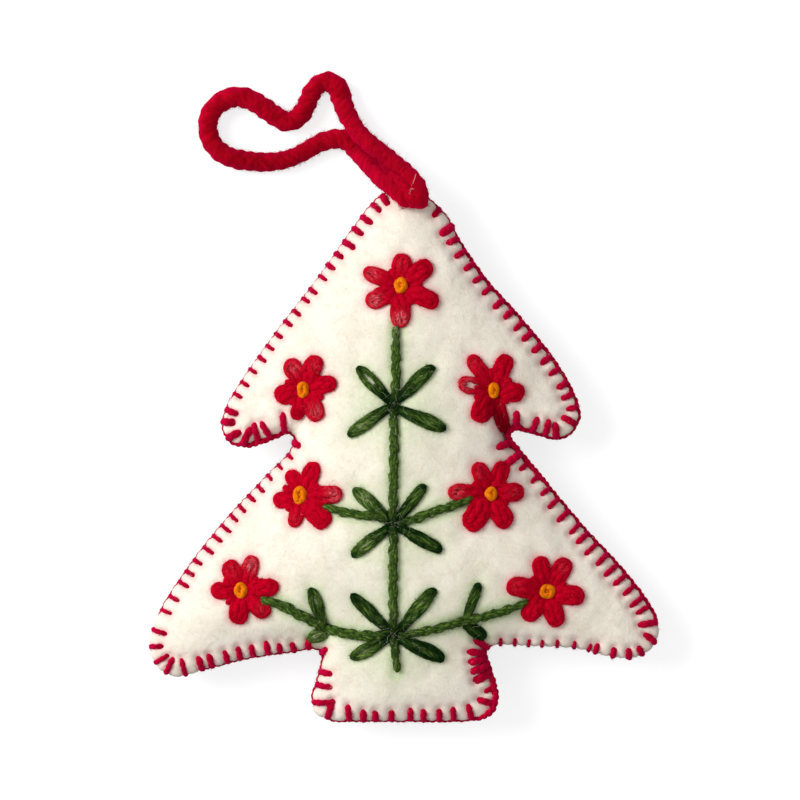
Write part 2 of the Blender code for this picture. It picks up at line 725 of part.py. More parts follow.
def leaf_rows(name, edge):
    """Return the right edge, middle and left edge of a leaf at each of its stations."""
    cluster, degrees, _ = LEAF_SHARES[name]
    root = on_tree(CLUSTER_SHARES[cluster])
    start, reach = leaf_start(cluster, degrees), leaf_reach(name, edge)
    width = min(LEAF_WIDTH, (reach - start) * LEAF_WIDTH / (LEAF_LENGTH / 2))
    rows = []
    for along_share, width_share in LEAF_STATION_SHARES:
        place = root + direction(degrees) * (start + (reach - start) * along_share)
        spread = LEAF_BASE_WIDTH + (width - LEAF_BASE_WIDTH) * width_share
        rows.append([place + direction(degrees + 90) * spread / 2 * side for side in (-1, 0, 1)])
    return np.array(rows)


def leaf_solid(name, skin, edge):
    """Return one leaf, narrow at its base, full past its middle and round at its tip."""
    rows = leaf_rows(name, edge)
    bm = bmesh.new()
    bmesh.ops.create_grid(bm, x_segments=len(rows) - 1, y_segments=2, size=1)
    heights = []
    for vertex in bm.verts:
        station = round((vertex.co.x + 1) / 2 * (len(rows) - 1))
        side = round(vertex.co.y) + 1
        vertex.co = (*rows[station][side], 0)
        heights.append(LEAF_HEIGHT * (1 if side == 1 else LEAF_CROWN_SHARE))
    lay_sheet(bm, skin, heights)
    return bm


def lay_yarn(line, diameter, skin):
    """Return the points of a yarn that lies on the felt along a flat line."""
    lift = diameter / 2 + YARN_CLEARANCE
    points = [skin.above(place, lift) for place in spaced(line, STEM_STEP)]
    for _ in range(SPAN_STEPS):
        for here, there in zip(points, points[1:]):
            for share in (0, 0.25, 0.5, 0.75, 1):
                rise = skin.shortfall(here.lerp(there, share), lift - YARN_CLEARANCE * (1 - SETTLED_SHARE))
                here.z += max(0.0, rise) * (1 - share)
                there.z += max(0.0, rise) * share
    return points


def stem_line():
    """Return the stem's line, cut off below the top flower's petals."""
    line = smooth_line(on_tree(STEM_SHARES))
    across, up, share = FLOWER_SHARES["top_flower"]
    clear = FLOWER_RADIUS * share + STEM_DIAMETER / 2 + YARN_CLEARANCE
    gaps = np.linalg.norm(line - on_tree((across, up)), axis=1)
    return line[gaps > clear]


def branch_line(name, stem):
    """Return a branch's line, cut off beside the stem and at its flower's petals."""
    line = spaced(smooth_line(on_tree(BRANCH_SHARES[name])), BRANCH_DIAMETER / 4)
    across, up, share = FLOWER_SHARES[BRANCH_FLOWERS[name]]
    petals = FLOWER_RADIUS * share + BRANCH_DIAMETER / 2 + YARN_CLEARANCE
    beside = (STEM_DIAMETER + BRANCH_DIAMETER) / 2 + YARN_CLEARANCE
    bloom = np.linalg.norm(line - on_tree((across, up)), axis=1)
    root = np.linalg.norm(line[:, None, :] - stem[None, :, :], axis=2).min(axis=1)
    return line[(bloom > petals) & (root > beside)]


# The whole tree

def clear_scene():
    """Remove every object that the file starts with."""
    for piece in list(bpy.data.objects):
        bpy.data.objects.remove(piece, do_unlink=True)


def add_tree_frame():
    """Return the collection and the empty that hold the tree's pieces."""
    collection = bpy.data.collections.new("felt_christmas_tree")
    bpy.context.scene.collection.children.link(collection)
    frame = bpy.data.objects.new("tree_frame", None)
    frame.empty_display_size = TREE_WIDTH / 2
    collection.objects.link(frame)
    return {"collection": collection, "frame": frame}


def tree_edge():
    """Return the stitched tree's outer edge, with the middle of its box at the origin."""
    line = smooth_line(on_tree(OUTLINE_SHARES), closed=True)
    return line - (line.min(axis=0) + line.max(axis=0)) / 2


def print_loop_gap(line):
    """Print the length of the hanging loop and its least gap to itself, away from its bends."""
    dense = spaced(line, LOOP_DIAMETER / LOOP_READING_COUNT)
    places = np.arange(len(dense))
    apart = np.abs(places[:, None] - places[None, :]) > LOOP_READING_COUNT * BEND_DIAMETER_COUNT
    distances = np.linalg.norm(dense[:, None, :] - dense[None, :, :], axis=2)
    gap = distances[apart].min() - LOOP_DIAMETER
    length = np.linalg.norm(np.diff(dense, axis=0), axis=1).sum()
    print(f"hanging loop: {length * 1000:.1f} mm long, least gap to itself {gap * 1000:.2f} mm")


def build_tree():
    """Build every piece of the tree."""
    clear_scene()
    tree = add_tree_frame()
    cream = add_material("cream_felt", (0.86, 0.80, 0.67), 0.95)
    fibre = add_material("white_fibre", (0.90, 0.90, 0.88), 1.0)
    red = add_material("red_yarn", (0.55, 0.01, 0.03), 0.85)
    dark_red = add_material("red_cord", (0.40, 0.005, 0.02), 0.9)
    green = add_material("green_yarn", (0.05, 0.12, 0.02), 0.85)
    orange = add_material("orange_yarn", (0.80, 0.25, 0.02), 0.85)

    edge = tree_edge()
    sheet = felt_sheet(inset(spaced(edge, FELT_STEP / 8, closed=True), EDGE_INSET))
    shares = dome_shares(len(sheet[0]), sheet[1], sheet[2])
    front_rises = shares * FRONT_DOME
    back_rises = np.minimum(shares * BACK_DOME, BACK_DOME - REST_FLAT_DEPTH)
    front_bm = felt_panel(sheet, front_rises, 1)
    back_bm = felt_panel(sheet, back_rises, -1)
    front, back = Skin(front_bm, 1), Skin(back_bm, -1)
    add_solid("front_panel", front_bm, cream, tree)
    add_solid("back_panel", back_bm, cream, tree)
    add_solid("stuffing", stuffing_solid(sheet, front_rises, back_rises), fibre, tree)

    loop_line = smooth_line(LOOP_ROUTE)
    print_loop_gap(loop_line)
    loop = spaced(loop_line, LOOP_STEP)
    add_yarn("hanging_loop", loop, LOOP_DIAMETER, 2, dark_red, tree)

    stem = spaced(stem_line(), STEM_DIAMETER / 8)
    add_yarn("stem", lay_yarn(stem, STEM_DIAMETER, front), STEM_DIAMETER, 1, green, tree)
    branches = {name: branch_line(name, stem) for name in BRANCH_SHARES}
    for name, line in branches.items():
        add_yarn(name, lay_yarn(line, BRANCH_DIAMETER, front), BRANCH_DIAMETER, 1, green, tree)
    for name in LEAF_SHARES:
        add_solid(name, leaf_solid(name, front, edge), green, tree)
    for name in FLOWER_SHARES:
        add_solid(name, flower_solid(name, front, edge), red, tree)
        bead, seat = knot_solid(name, front)
        knot = add_solid(name.replace("flower", "knot"), bead, orange, tree)
        knot.matrix_world = seat

    petals = [petal_line(name, edge) for name in FLOWER_SHARES]
    leaves = [leaf_rows(name, edge).reshape(-1, 2) for name in LEAF_SHARES]
    embroidery = np.vstack([stem, *branches.values(), *petals, *leaves])
    loop_plan = spaced(loop_line, LOOP_DIAMETER / LOOP_READING_COUNT)[:, :2]
    add_solid("edge_stitch", edge_stitch_solid(edge, front, back, loop_plan, embroidery), red, tree)


build_tree()
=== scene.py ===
"""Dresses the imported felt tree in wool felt, embroidery yarn, blanket stitch and a wool cord.

The tree lies on its back on a pale floor, seen from straight above, in soft light from the upper left.
"""

import math

import bpy
import numpy as np
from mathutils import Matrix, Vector
from mathutils.bvhtree import BVHTree
from mathutils.geometry import delaunay_2d_cdt


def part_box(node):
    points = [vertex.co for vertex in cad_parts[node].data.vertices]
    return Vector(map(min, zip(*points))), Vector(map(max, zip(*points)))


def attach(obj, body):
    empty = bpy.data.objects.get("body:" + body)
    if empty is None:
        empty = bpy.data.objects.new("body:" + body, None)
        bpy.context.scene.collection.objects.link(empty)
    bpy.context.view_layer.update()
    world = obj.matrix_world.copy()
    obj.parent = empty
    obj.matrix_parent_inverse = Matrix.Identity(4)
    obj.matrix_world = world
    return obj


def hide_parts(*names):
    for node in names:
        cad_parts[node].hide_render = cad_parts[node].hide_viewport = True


bl_info = {
    "name": "Felt Christmas Tree",
    "version": (1, 0, 0),
    "blender": (4, 5, 0),
    "location": "View3D > Sidebar > Felt Tree",
    "description": "Dresses a stuffed felt tree in felt, embroidery and cord",
    "category": "Object",
}

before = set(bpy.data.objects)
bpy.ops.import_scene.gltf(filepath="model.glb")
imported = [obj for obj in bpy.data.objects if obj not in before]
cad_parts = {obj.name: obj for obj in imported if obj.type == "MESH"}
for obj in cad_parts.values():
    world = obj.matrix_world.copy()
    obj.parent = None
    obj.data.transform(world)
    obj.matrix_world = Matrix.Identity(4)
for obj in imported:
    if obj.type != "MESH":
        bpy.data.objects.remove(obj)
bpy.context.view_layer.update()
FRONT_LOW, FRONT_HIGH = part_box("front_panel")
BACK_LOW, BACK_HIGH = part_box("back_panel")
BODY = "root"

MM = 0.001
TREE_WIDTH = 0.1126
TREE_HEIGHT = 0.1175
FELT_THICKNESS = 0.0013
SEAM_LEVEL = (FRONT_LOW.z + BACK_HIGH.z) / 2
UPRIGHT = (0.0, 0.0, 1.0)

# Lines: points in a span, spacing on the edge and the cord, and how far the cord's ends lie side by side
SPAN_STEPS = 10
EDGE_STEP = 0.2 * MM
CORD_STEP = 0.2 * MM
JOINED_ENDS = 17 * MM

# Felt: its cut edge inside the stitched edge at a leg, and how far it bulges out between two legs
RIM_INSET = 0.72 * MM
RIM_BULGE = 0.44 * MM
RIM_STEP = 0.42 * MM
SEAM_HALF_GAP = 0.02 * MM
EDGE_LIFT = 0.15 * MM
EDGE_ROUNDING = 0.34 * MM
FLOOR_GAP = 0.04 * MM

# Grids of flat sheets: the step near the rim, and the step further in
FRONT_GRID = (0.46 * MM, 0.60 * MM)
BACK_GRID = (0.60 * MM, 1.2 * MM)
UNDER_GRID = (1.6 * MM, 2.6 * MM)
PILLOW_GRID = (1.9 * MM, 2.3 * MM)

# Dents in the felt: depth and reach, and the depth under yarn
LEG_DENT = (0.46 * MM, 0.8 * MM)
HOLE_DENT = (0.30 * MM, 1.0 * MM)
YARN_DENT = 0.34 * MM

# Colour that is rubbed into the felt: how far it spreads from the yarn
LEG_STAIN = 1.35 * MM
PETAL_STAIN = 0.95 * MM
GREEN_STAIN = 1.5 * MM
GREEN_HAZE = 4.0 * MM
CROSS_STAIN = 9.5 * MM

# Fibres: lengths and widths
FUZZ_LENGTH = 0.75 * MM
YARN_FUZZ = 0.045 * MM
SOFT_FUZZ = 0.06 * MM
NAP_FIBRE = (1.5 * MM, 0.035 * MM)
STRAY_FIBRE = (2.4 * MM, 0.024 * MM)
LOOSE_STRAND = (3.4 * MM, 0.09 * MM)

# Twist: the length of yarn or cord that turns once
LEG_PITCH = 3.2 * MM
BAR_PITCH = 4.2 * MM
PURL_PITCH = 2.6 * MM
SOFT_PITCH = 6.5 * MM
STEM_PITCH = 5.5 * MM
LEAF_PITCH = 12.0 * MM
TIE_PITCH = 3.0 * MM
KNOT_PITCH = 3.4 * MM
CORE_PITCH = 2.4 * MM
CORD_PITCH = 9.6 * MM
HOOK_PITCH = 1.6 * MM

# Colours that no setting holds: dye in the felt, brown specks, the edge's wool, the multiplier of painted
# shade and other darker places on wool, and the pale colours of worn wools and their painted sheen where they
# are seen aslant
RED_BLEED = (0.86, 0.40, 0.42)
GREEN_BLEED = (0.54, 0.67, 0.34)
BROWN_SPECK = (0.62, 0.50, 0.36)
EDGE_LIGHT, EDGE_DARK = (0.50, 0.001, 0.026), (0.28, 0.0004, 0.010)
DEEP_SHADE = (0.06, 0.17, 0.17)
PETAL_WORN, PETAL_HALO = (0.92, 0.50, 0.55), (0.62, 0.001, 0.032)
EDGE_WORN, EDGE_HALO = (0.86, 0.50, 0.50), (0.70, 0.006, 0.11)
GREEN_WORN, GREEN_HALO = (0.42, 0.46, 0.26), (0.09, 0.175, 0.03)
KNOT_WORN, KNOT_HALO = (0.9, 0.6, 0.3), (0.95, 0.33, 0.01)
CORD_WORN, CORD_HALO = (0.85, 0.34, 0.38), (0.72, 0.001, 0.06)

# Outer edge of the stitched tree, anticlockwise from the tip: across, up
OUTLINE_SHARES = [
    (0.000, 0.500), (-0.031, 0.496), (-0.059, 0.478), (-0.100, 0.429), (-0.170, 0.335),
    (-0.246, 0.240), (-0.312, 0.152), (-0.348, 0.094), (-0.357, 0.052), (-0.340, 0.022),
    (-0.305, 0.015), (-0.258, 0.028), (-0.227, 0.039), (-0.217, 0.032), (-0.225, 0.009),
    (-0.266, -0.032), (-0.350, -0.118), (-0.418, -0.200), (-0.477, -0.287), (-0.498, -0.337),
    (-0.498, -0.374), (-0.477, -0.406), (-0.441, -0.418), (-0.389, -0.404), (-0.310, -0.384),
    (-0.223, -0.371), (-0.172, -0.365), (-0.162, -0.374), (-0.168, -0.406), (-0.182, -0.455),
    (-0.176, -0.485), (-0.145, -0.498), (-0.076, -0.500), (0.012, -0.500), (0.100, -0.500),
    (0.152, -0.494), (0.178, -0.474), (0.182, -0.444), (0.170, -0.399), (0.162, -0.369),
    (0.176, -0.360), (0.246, -0.361), (0.334, -0.365), (0.402, -0.380), (0.451, -0.382),
    (0.488, -0.361), (0.500, -0.328), (0.484, -0.285), (0.432, -0.217), (0.353, -0.135),
    (0.279, -0.051), (0.223, 0.013), (0.205, 0.039), (0.219, 0.047), (0.258, 0.037),
    (0.297, 0.028), (0.328, 0.041), (0.344, 0.071), (0.336, 0.107), (0.297, 0.174),
    (0.230, 0.255), (0.160, 0.330), (0.113, 0.397), (0.084, 0.448), (0.055, 0.476),
    (0.029, 0.492),
]

# Runs of the blanket stitch's legs in millimetres: first and last place along the edge from the tip, how
# many legs, their reach over the felt, their lean, and how thick they are beside the rest
LEG_RUNS = [
    (5, 19, 5, 3.1, 0.0, 1.0), (22, 25, 2, 2.4, 0.1, 1.0), (28, 60, 11, 2.4, 0.1, 0.7),
    (64, 67, 2, 3.1, 0.0, 1.2), (71, 71, 1, 3.4, -0.6, 1.2), (75, 75, 1, 4.0, -1.4, 1.2),
    (79, 79, 1, 4.8, 0.0, 1.0), (82, 85, 2, 4.5, 0.7, 1.0), (88, 88, 1, 1.8, -1.0, 1.0),
    (91, 97, 3, 2.1, 0.0, 0.6), (100, 109, 4, 2.6, 0.1, 0.65), (112, 118, 3, 3.0, 0.3, 0.7),
    (122, 125, 2, 2.5, 0.2, 0.7), (128, 135, 3, 3.0, 0.3, 0.7), (140, 144, 2, 3.6, 0.1, 0.87),
    (148, 156, 3, 4.1, 0.1, 0.87), (160, 175, 6, 3.2, 0.0, 1.0), (178, 184, 3, 2.5, 0.1, 1.0),
    (187, 187, 1, 1.8, 0.1, 1.0), (191, 191, 1, 2.9, 0.3, 1.0), (194, 194, 1, 3.7, 0.7, 1.0),
    (198, 204, 2, 5.3, -0.1, 1.0), (209, 209, 1, 4.0, 0.4, 1.0), (212, 218, 3, 2.6, 0.0, 1.0),
    (222, 229, 3, 3.0, 0.1, 1.0), (232, 236, 2, 3.6, 0.3, 1.0), (243, 243, 1, 4.3, 0.3, 1.1),
    (247, 247, 1, 3.0, 0.5, 0.8), (250, 256, 6, 4.3, 1.1, 1.2), (258, 277, 7, 2.0, 0.0, 0.6),
    (279, 290, 4, 2.4, 0.0, 1.0), (294, 294, 1, 3.3, -0.6, 1.0), (299, 299, 1, 4.4, -0.4, 1.0),
    (303, 324, 8, 4.0, 0.0, 0.86), (327, 334, 3, 3.6, 0.1, 0.86), (337, 344, 3, 2.8, 0.0, 0.86),
    (347, 347, 1, 4.8, -0.3, 1.45), (350, 354, 2, 4.0, -0.7, 1.15), (357, 363, 3, 3.9, 0.1, 1.15),
    (369, 369, 1, 4.0, -0.1, 1.1), (373, 419, 15, 3.0, 0.0, 1.0), (422, 422, 1, 3.5, 0.2, 1.4),
    (427, 427, 1, 2.6, 0.5, 1.0),
]
CROSS_BAR_ENDS = (198, 204)
EDGE_LENGTH_MM = 436.3

# Yarn that runs along the edge, in millimetres: place, width, and how far in from the edge it lies
PURL_PARTS = [
    (0, 0.75, 0.38), (26, 0.60, 0.52), (62, 0.65, 0.50), (72, 1.05, 0.40), (78, 1.5, 0.42), (84, 1.4, 0.42),
    (87, 0.95, 0.46), (91, 0.65, 0.50), (94, 0.65, 0.50), (136, 0.70, 0.46), (140, 0.60, 0.95),
    (157, 0.60, 0.95), (162, 0.80, 0.40), (190, 0.85, 0.36), (197.5, 0.85, 0.36), (199, 0.55, 0.80),
    (203, 0.55, 0.80), (204.5, 0.85, 0.36), (212, 0.85, 0.36), (236, 1.0, 0.40), (240, 1.6, 0.46),
    (254, 1.6, 0.46), (258, 0.60, 0.95), (277, 0.60, 0.95), (283, 0.60, 0.85), (297, 0.60, 0.80),
    (300, 1.15, 0.40), (336, 1.15, 0.40), (340, 1.5, 0.40), (354, 1.7, 0.45), (360, 1.0, 0.38),
    (372, 1.1, 0.38), (380, 1.25, 0.38), (414, 1.25, 0.38), (420, 0.85, 0.38), (EDGE_LENGTH_MM, 0.85, 0.38),
]

# Line of the stem, from the top flower down
STEM_SHARES = [
    (-0.013, 0.240), (-0.016, 0.190), (-0.016, 0.130), (-0.020, 0.094), (-0.019, 0.030),
    (-0.021, -0.080), (-0.021, -0.125), (-0.021, -0.190), (-0.021, -0.250), (-0.019, -0.333),
    (-0.016, -0.402),
]
BRANCH_SHARES = {
    "middle_left_branch": [(-0.030, -0.123), (-0.070, -0.113), (-0.113, -0.106), (-0.156, -0.092)],
    "middle_right_branch": [
        (-0.012, -0.126), (0.020, -0.117), (0.057, -0.104), (0.108, -0.090), (0.133, -0.082)],
    "lower_left_branch": [
        (-0.026, -0.333), (-0.081, -0.334), (-0.124, -0.327), (-0.152, -0.321), (-0.175, -0.308),
        (-0.202, -0.295), (-0.241, -0.276), (-0.276, -0.264)],
    "lower_right_branch": [
        (-0.010, -0.332), (0.048, -0.324), (0.108, -0.308), (0.150, -0.299), (0.186, -0.290),
        (0.240, -0.273)],
}

# Leaf: root across and up, tip across and up, width in millimetres, how far its middle is filled, and how
# much darker its outer part is made
LEAF_SHARES = {
    "upper_leaf_left_high": ((-0.026, 0.098), (-0.091, 0.164), 3.3, 0.1, 0.1),
    "upper_leaf_right_high": ((-0.014, 0.100), (0.057, 0.167), 3.3, 0.6, 0.3),
    "upper_leaf_left_low": ((-0.026, 0.092), (-0.109, 0.036), 3.1, 1.0, 0.0),
    "upper_leaf_right_low": ((-0.014, 0.086), (0.081, 0.048), 3.5, 1.0, 0.3),
    "middle_leaf_left_high": ((-0.028, -0.120), (-0.098, -0.060), 3.2, 1.0, -0.15),
    "middle_leaf_right_high": ((-0.012, -0.119), (0.042, -0.053), 2.9, 1.0, 0.4),
    "middle_leaf_left_low": ((-0.027, -0.132), (-0.102, -0.187), 3.2, 0.8, 0.0),
    "middle_leaf_right_low": ((-0.011, -0.133), (0.075, -0.177), 3.3, 1.0, 0.6),
    "lower_leaf_left_high": ((-0.026, -0.328), (-0.103, -0.256), 3.2, 0.6, 0.5),
    "lower_leaf_right_high": ((-0.010, -0.326), (0.060, -0.246), 3.2, 0.8, 0.2),
    "lower_leaf_left_low": ((-0.028, -0.339), (-0.105, -0.379), 3.4, 0.3, -0.1),
    "lower_leaf_right_low": ((-0.010, -0.340), (0.078, -0.379), 3.7, 1.0, 0.7),
    "left_branch_leaf_high": ((-0.156, -0.317), (-0.181, -0.244), 3.1, 0.2, 0.2),
    "left_branch_leaf_low": ((-0.146, -0.327), (-0.187, -0.342), 3.3, 1.0, -0.2),
    "right_branch_leaf_high": ((0.117, -0.308), (0.146, -0.235), 2.5, 0.9, 0.5),
    "right_branch_leaf_low": ((0.115, -0.315), (0.161, -0.338), 3.2, 1.0, 0.7),
}

# Flower: middle across and up, and each petal's direction in degrees, reach and width in millimetres,
# how far its middle is filled, and how pale its tip is worn or, below zero, how dark a painted shadow lies
# over it
FLOWERS = {
    "top_flower": ((-0.005, 0.313), [
        (89, 7.2, 4.5, 1.0, 0.1), (40, 8.2, 4.7, 1.0, 0.0), (-25, 8.8, 4.2, 1.0, 0.0),
        (-92, 8.9, 4.4, 0.9, 0.9), (206, 8.4, 4.4, 0.9, 0.7), (156, 8.9, 3.8, 0.8, 0.3)]),
    "upper_left_flower": ((-0.193, 0.123), [
        (119, 7.3, 4.1, 0.8, 0.3), (69, 7.7, 4.2, 1.0, 0.1), (13, 7.2, 3.8, 1.0, 0.0),
        (-64, 7.5, 4.2, 0.9, 0.5), (-107, 6.8, 3.3, 1.0, 0.0), (194, 6.6, 4.3, 1.0, 0.0)]),
    "upper_right_flower": ((0.172, 0.123), [
        (125, 8.9, 3.5, 1.0, 0.1), (66, 8.1, 4.0, 1.0, 0.0), (-8, 6.9, 4.4, 1.0, 0.0),
        (-74, 9.6, 3.9, 1.0, -0.75), (-117, 7.9, 4.9, 1.0, 0.0), (170, 7.7, 3.9, 0.1, 0.5)]),
    "middle_left_flower": ((-0.198, -0.077), [
        (115, 6.3, 3.6, 1.0, 0.0), (67, 8.0, 3.9, 1.0, 0.0), (5, 8.9, 4.1, 0.8, 0.6),
        (-49, 8.5, 4.8, 1.0, 0.0), (-106, 6.9, 3.6, 1.0, 0.1), (191, 6.3, 3.8, 1.0, 0.0)]),
    "middle_right_flower": ((0.165, -0.074), [
        (113, 7.6, 4.0, 1.0, 0.1), (65, 7.9, 3.9, 1.0, 0.0), (6, 7.6, 4.3, 1.0, 0.1),
        (-60, 8.0, 4.6, 1.0, 0.0), (-123, 8.8, 5.2, 1.0, 0.0), (175, 9.0, 4.1, 0.8, 0.4)]),
    "lower_left_flower": ((-0.315, -0.251), [
        (182, 6.7, 3.9, 1.0, 0.0), (117, 7.0, 4.2, 1.0, 0.1), (70, 7.9, 3.9, 0.9, 0.8),
        (7, 8.2, 4.3, 1.0, 0.0), (-44, 8.0, 4.3, 1.0, 0.1), (-98, 7.4, 4.5, 1.0, 0.0)]),
    "lower_right_flower": ((0.277, -0.252), [
        (105, 7.7, 4.2, 1.0, 0.0), (56, 8.2, 4.3, 1.0, 0.1), (-11, 8.3, 4.5, 1.0, 0.0),
        (-72, 8.2, 4.5, 1.0, 0.0), (-127, 7.9, 4.4, 1.0, 0.0), (171, 8.9, 4.5, 1.0, 0.1)]),
}

# Width and height of each flower's knot in millimetres
KNOT_SIZES = {
    "top_flower": (3.2, 4.0), "upper_left_flower": (2.9, 4.2), "upper_right_flower": (2.5, 3.9),
    "middle_left_flower": (3.3, 4.7), "middle_right_flower": (2.9, 3.4), "lower_left_flower": (3.2, 4.0),
    "lower_right_flower": (4.0, 3.6),
}

# Middles of the three crosses of leaves
CROSSES = [(-0.021, 0.093), (-0.020, -0.127), (-0.020, -0.334)]

# Route of the hanging loop, from its right end on the tip, round, to its left end, in metres
LOOP_ROUTE = [
    (0.0033, 0.0548, 0.0130), (0.0034, 0.0559, 0.0142), (0.0031, 0.0579, 0.0138), (0.0020, 0.0600, 0.0128),
    (0.0001, 0.0620, 0.0115), (-0.0023, 0.0641, 0.0101), (-0.0048, 0.0663, 0.0088),
    (-0.0075, 0.0685, 0.0074), (-0.0100, 0.0709, 0.0060), (-0.0117, 0.0736, 0.0045),
    (-0.0131, 0.0764, 0.0034), (-0.0139, 0.0790, 0.0025), (-0.0147, 0.0811, 0.0021),
    (-0.0160, 0.0822, 0.0020), (-0.0180, 0.0823, 0.0020), (-0.0197, 0.0811, 0.0020),
    (-0.0209, 0.0789, 0.0020), (-0.0221, 0.0762, 0.0020), (-0.0239, 0.0742, 0.0020),
    (-0.0261, 0.0737, 0.0020), (-0.0285, 0.0749, 0.0020), (-0.0310, 0.0767, 0.0020),
    (-0.0339, 0.0784, 0.0020), (-0.0370, 0.0791, 0.0020), (-0.0400, 0.0782, 0.0020),
    (-0.0425, 0.0759, 0.0020), (-0.0434, 0.0728, 0.0020), (-0.0427, 0.0695, 0.0020),
    (-0.0406, 0.0669, 0.0020), (-0.0376, 0.0655, 0.0020), (-0.0339, 0.0649, 0.0020),
    (-0.0299, 0.0647, 0.0020), (-0.0260, 0.0653, 0.0020), (-0.0222, 0.0669, 0.0020),
    (-0.0187, 0.0689, 0.0020), (-0.0154, 0.0698, 0.0020), (-0.0125, 0.0694, 0.0021),
    (-0.0103, 0.0673, 0.0029), (-0.0084, 0.0650, 0.0048), (-0.0065, 0.0627, 0.0074),
    (-0.0045, 0.0604, 0.0101), (-0.0019, 0.0583, 0.0122), (0.0004, 0.0561, 0.0132), (0.0012, 0.0549, 0.0124),
]

# Share of the cord's length and its width there, beside the cord's common width
CORD_WIDTHS = [
    (0, 1.06), (0.12, 1.05), (0.21, 1.03), (0.26, 1.18), (0.31, 1.05), (0.36, 1.14), (0.50, 1.15),
    (0.62, 1.10), (0.74, 1.00), (0.84, 1.17), (0.90, 1.08), (1, 1.06),
]

# Darker places on the cord: middle in metres, reach, and how much darker
CORD_SHADES = [((-0.0045, 0.0660), 7 * MM, -0.16), ((-0.0340, 0.0650), 9 * MM, -0.12)]

# Creases in the front: start, end, depth and half-width in millimetres
CREASES = [
    ((0.205, 0.030), (0.176, 0.092), 1.9, 1.9),
    ((-0.216, 0.026), (-0.196, 0.070), 1.2, 1.7),
    ((-0.164, -0.372), (-0.150, -0.322), 1.0, 1.6),
    ((0.160, -0.366), (0.140, -0.320), 1.3, 1.8),
    ((-0.205, -0.345), (-0.300, -0.352), 0.5, 2.2),
]


# Settings that a user would change

def length_setting(name, description, default):
    """Return the property of a length."""
    return bpy.props.FloatProperty(name=name, description=description, default=default, unit="LENGTH")


def colour_setting(name, description, default):
    """Return the property of a colour."""
    return bpy.props.FloatVectorProperty(name=name, description=description, default=default, subtype="COLOR")


class TREE_PG_sizes(bpy.types.PropertyGroup):
    """Sizes of the felt, the yarns and the cord."""

    front_dome: length_setting("Front dome", "How far the stuffed front rises above the seam",
                               FRONT_HIGH.z - SEAM_LEVEL - FELT_THICKNESS)
    back_dome: length_setting("Back dome", "How far the stuffed back falls below the seam",
                              SEAM_LEVEL - BACK_LOW.z - FELT_THICKNESS)
    felt_thickness: length_setting("Felt thickness", "Thickness of each felt panel", FELT_THICKNESS)
    stitch_yarn: length_setting("Stitch yarn", "Diameter of the red yarn round the edge", 0.00150)
    petal_yarn: length_setting("Petal yarn", "Diameter of the red yarn of the petals", 0.00165)
    leaf_yarn: length_setting("Leaf yarn", "Diameter of the green yarn of the leaves", 0.00145)
    stem_yarn: length_setting("Stem yarn", "Width of the stem", 0.0024)
    knot_yarn: length_setting("Knot yarn", "Diameter of the orange yarn of the knots", 0.00135)
    cord_width: length_setting("Cord width", "Width of the hanging loop's cord", 0.0039)


class TREE_PG_colours(bpy.types.PropertyGroup):
    """Colours of the wools and the floor."""

    felt: colour_setting("Felt", "Cream of the felt", (0.93, 0.874, 0.757))
    felt_shade: colour_setting("Felt shade", "Darker fibres in the felt", (0.78, 0.685, 0.55))
    petal: colour_setting("Petal red", "Light red of the wool", (0.57, 0.0008, 0.018))
    petal_shade: colour_setting("Petal shade", "Dark red of the wool", (0.37, 0.0003, 0.008))
    cord: colour_setting("Cord red", "Light red of the cord", (0.43, 0.0008, 0.011))
    cord_shade: colour_setting("Cord shade", "Dark red of the cord", (0.24, 0.0004, 0.004))
    leaf: colour_setting("Leaf green", "Light green of the wool", (0.172, 0.290, 0.048))
    leaf_shade: colour_setting("Leaf shade", "Dark green of the wool", (0.006, 0.022, 0.004))
    knot: colour_setting("Knot orange", "Light orange of the wool", (0.80, 0.245, 0.005))
    knot_shade: colour_setting("Knot shade", "Dark orange of the wool", (0.62, 0.115, 0.002))
    fibre: colour_setting("Filling", "White of the fibre filling", (0.86, 0.86, 0.84))
    floor: colour_setting("Floor", "Pale floor", (0.38, 0.38, 0.39))


# Lines

def unit(ways):
    """Return directions with a length of one."""
    return ways / np.maximum(np.linalg.norm(ways, axis=-1, keepdims=True), 1e-12)


def fall_off(distance, reach):
    """Return one at no distance, falling smoothly to nothing over about twice the reach."""
    return np.exp(-(distance / reach) ** 2)


def part_way(first, second, low, high, at):
    """Return the place on the way from one point to another at a moment from low to high."""
    return first + (second - first) * (at - low) / (high - low)


def smooth_line(points, closed=False):
    """Return a dense smooth line through the points."""
    points = np.array(points, dtype=float)
    count = len(points)
    if closed:
        quads = [[points[(i + k) % count] for k in (-1, 0, 1, 2)] for i in range(count)]
    else:
        longer = [2 * points[0] - points[1], *points, 2 * points[-1] - points[-2]]
        quads = [longer[i:i + 4] for i in range(count - 1)]
    line = []
    for quad in quads:
        t = [0.0]
        for here, there in zip(quad, quad[1:]):
            t.append(t[-1] + max(np.linalg.norm(there - here), 1e-6) ** 0.5)
        for step in range(SPAN_STEPS):
            at = t[1] + (t[2] - t[1]) * step / SPAN_STEPS
            a = [part_way(quad[k], quad[k + 1], t[k], t[k + 1], at) for k in range(3)]
            b = [part_way(a[k], a[k + 1], t[k], t[k + 2], at) for k in range(2)]
            line.append(part_way(b[0], b[1], t[1], t[2], at))
    if not closed:
        line.append(points[-1])
    return np.array(line)


def lengths_along(line):
    """Return the length from the start of a line to each of its points."""
    return np.concatenate([[0.0], np.cumsum(np.linalg.norm(np.diff(line, axis=0), axis=1))])


def read_line(line, along, places):
    """Return the points of a line at given lengths along it."""
    return np.column_stack([np.interp(places, along, line[:, k]) for k in range(line.shape[1])])


def spaced(line, step, closed=False):
    """Return evenly spaced points of a line, about one step apart."""
    if closed:
        line = np.vstack([line, line[:1]])
    along = lengths_along(line)
    count = max(3, round(along[-1] / step))
    places = np.linspace(0.0, along[-1], count + 1)
    return read_line(line, along, places[:-1] if closed else places)


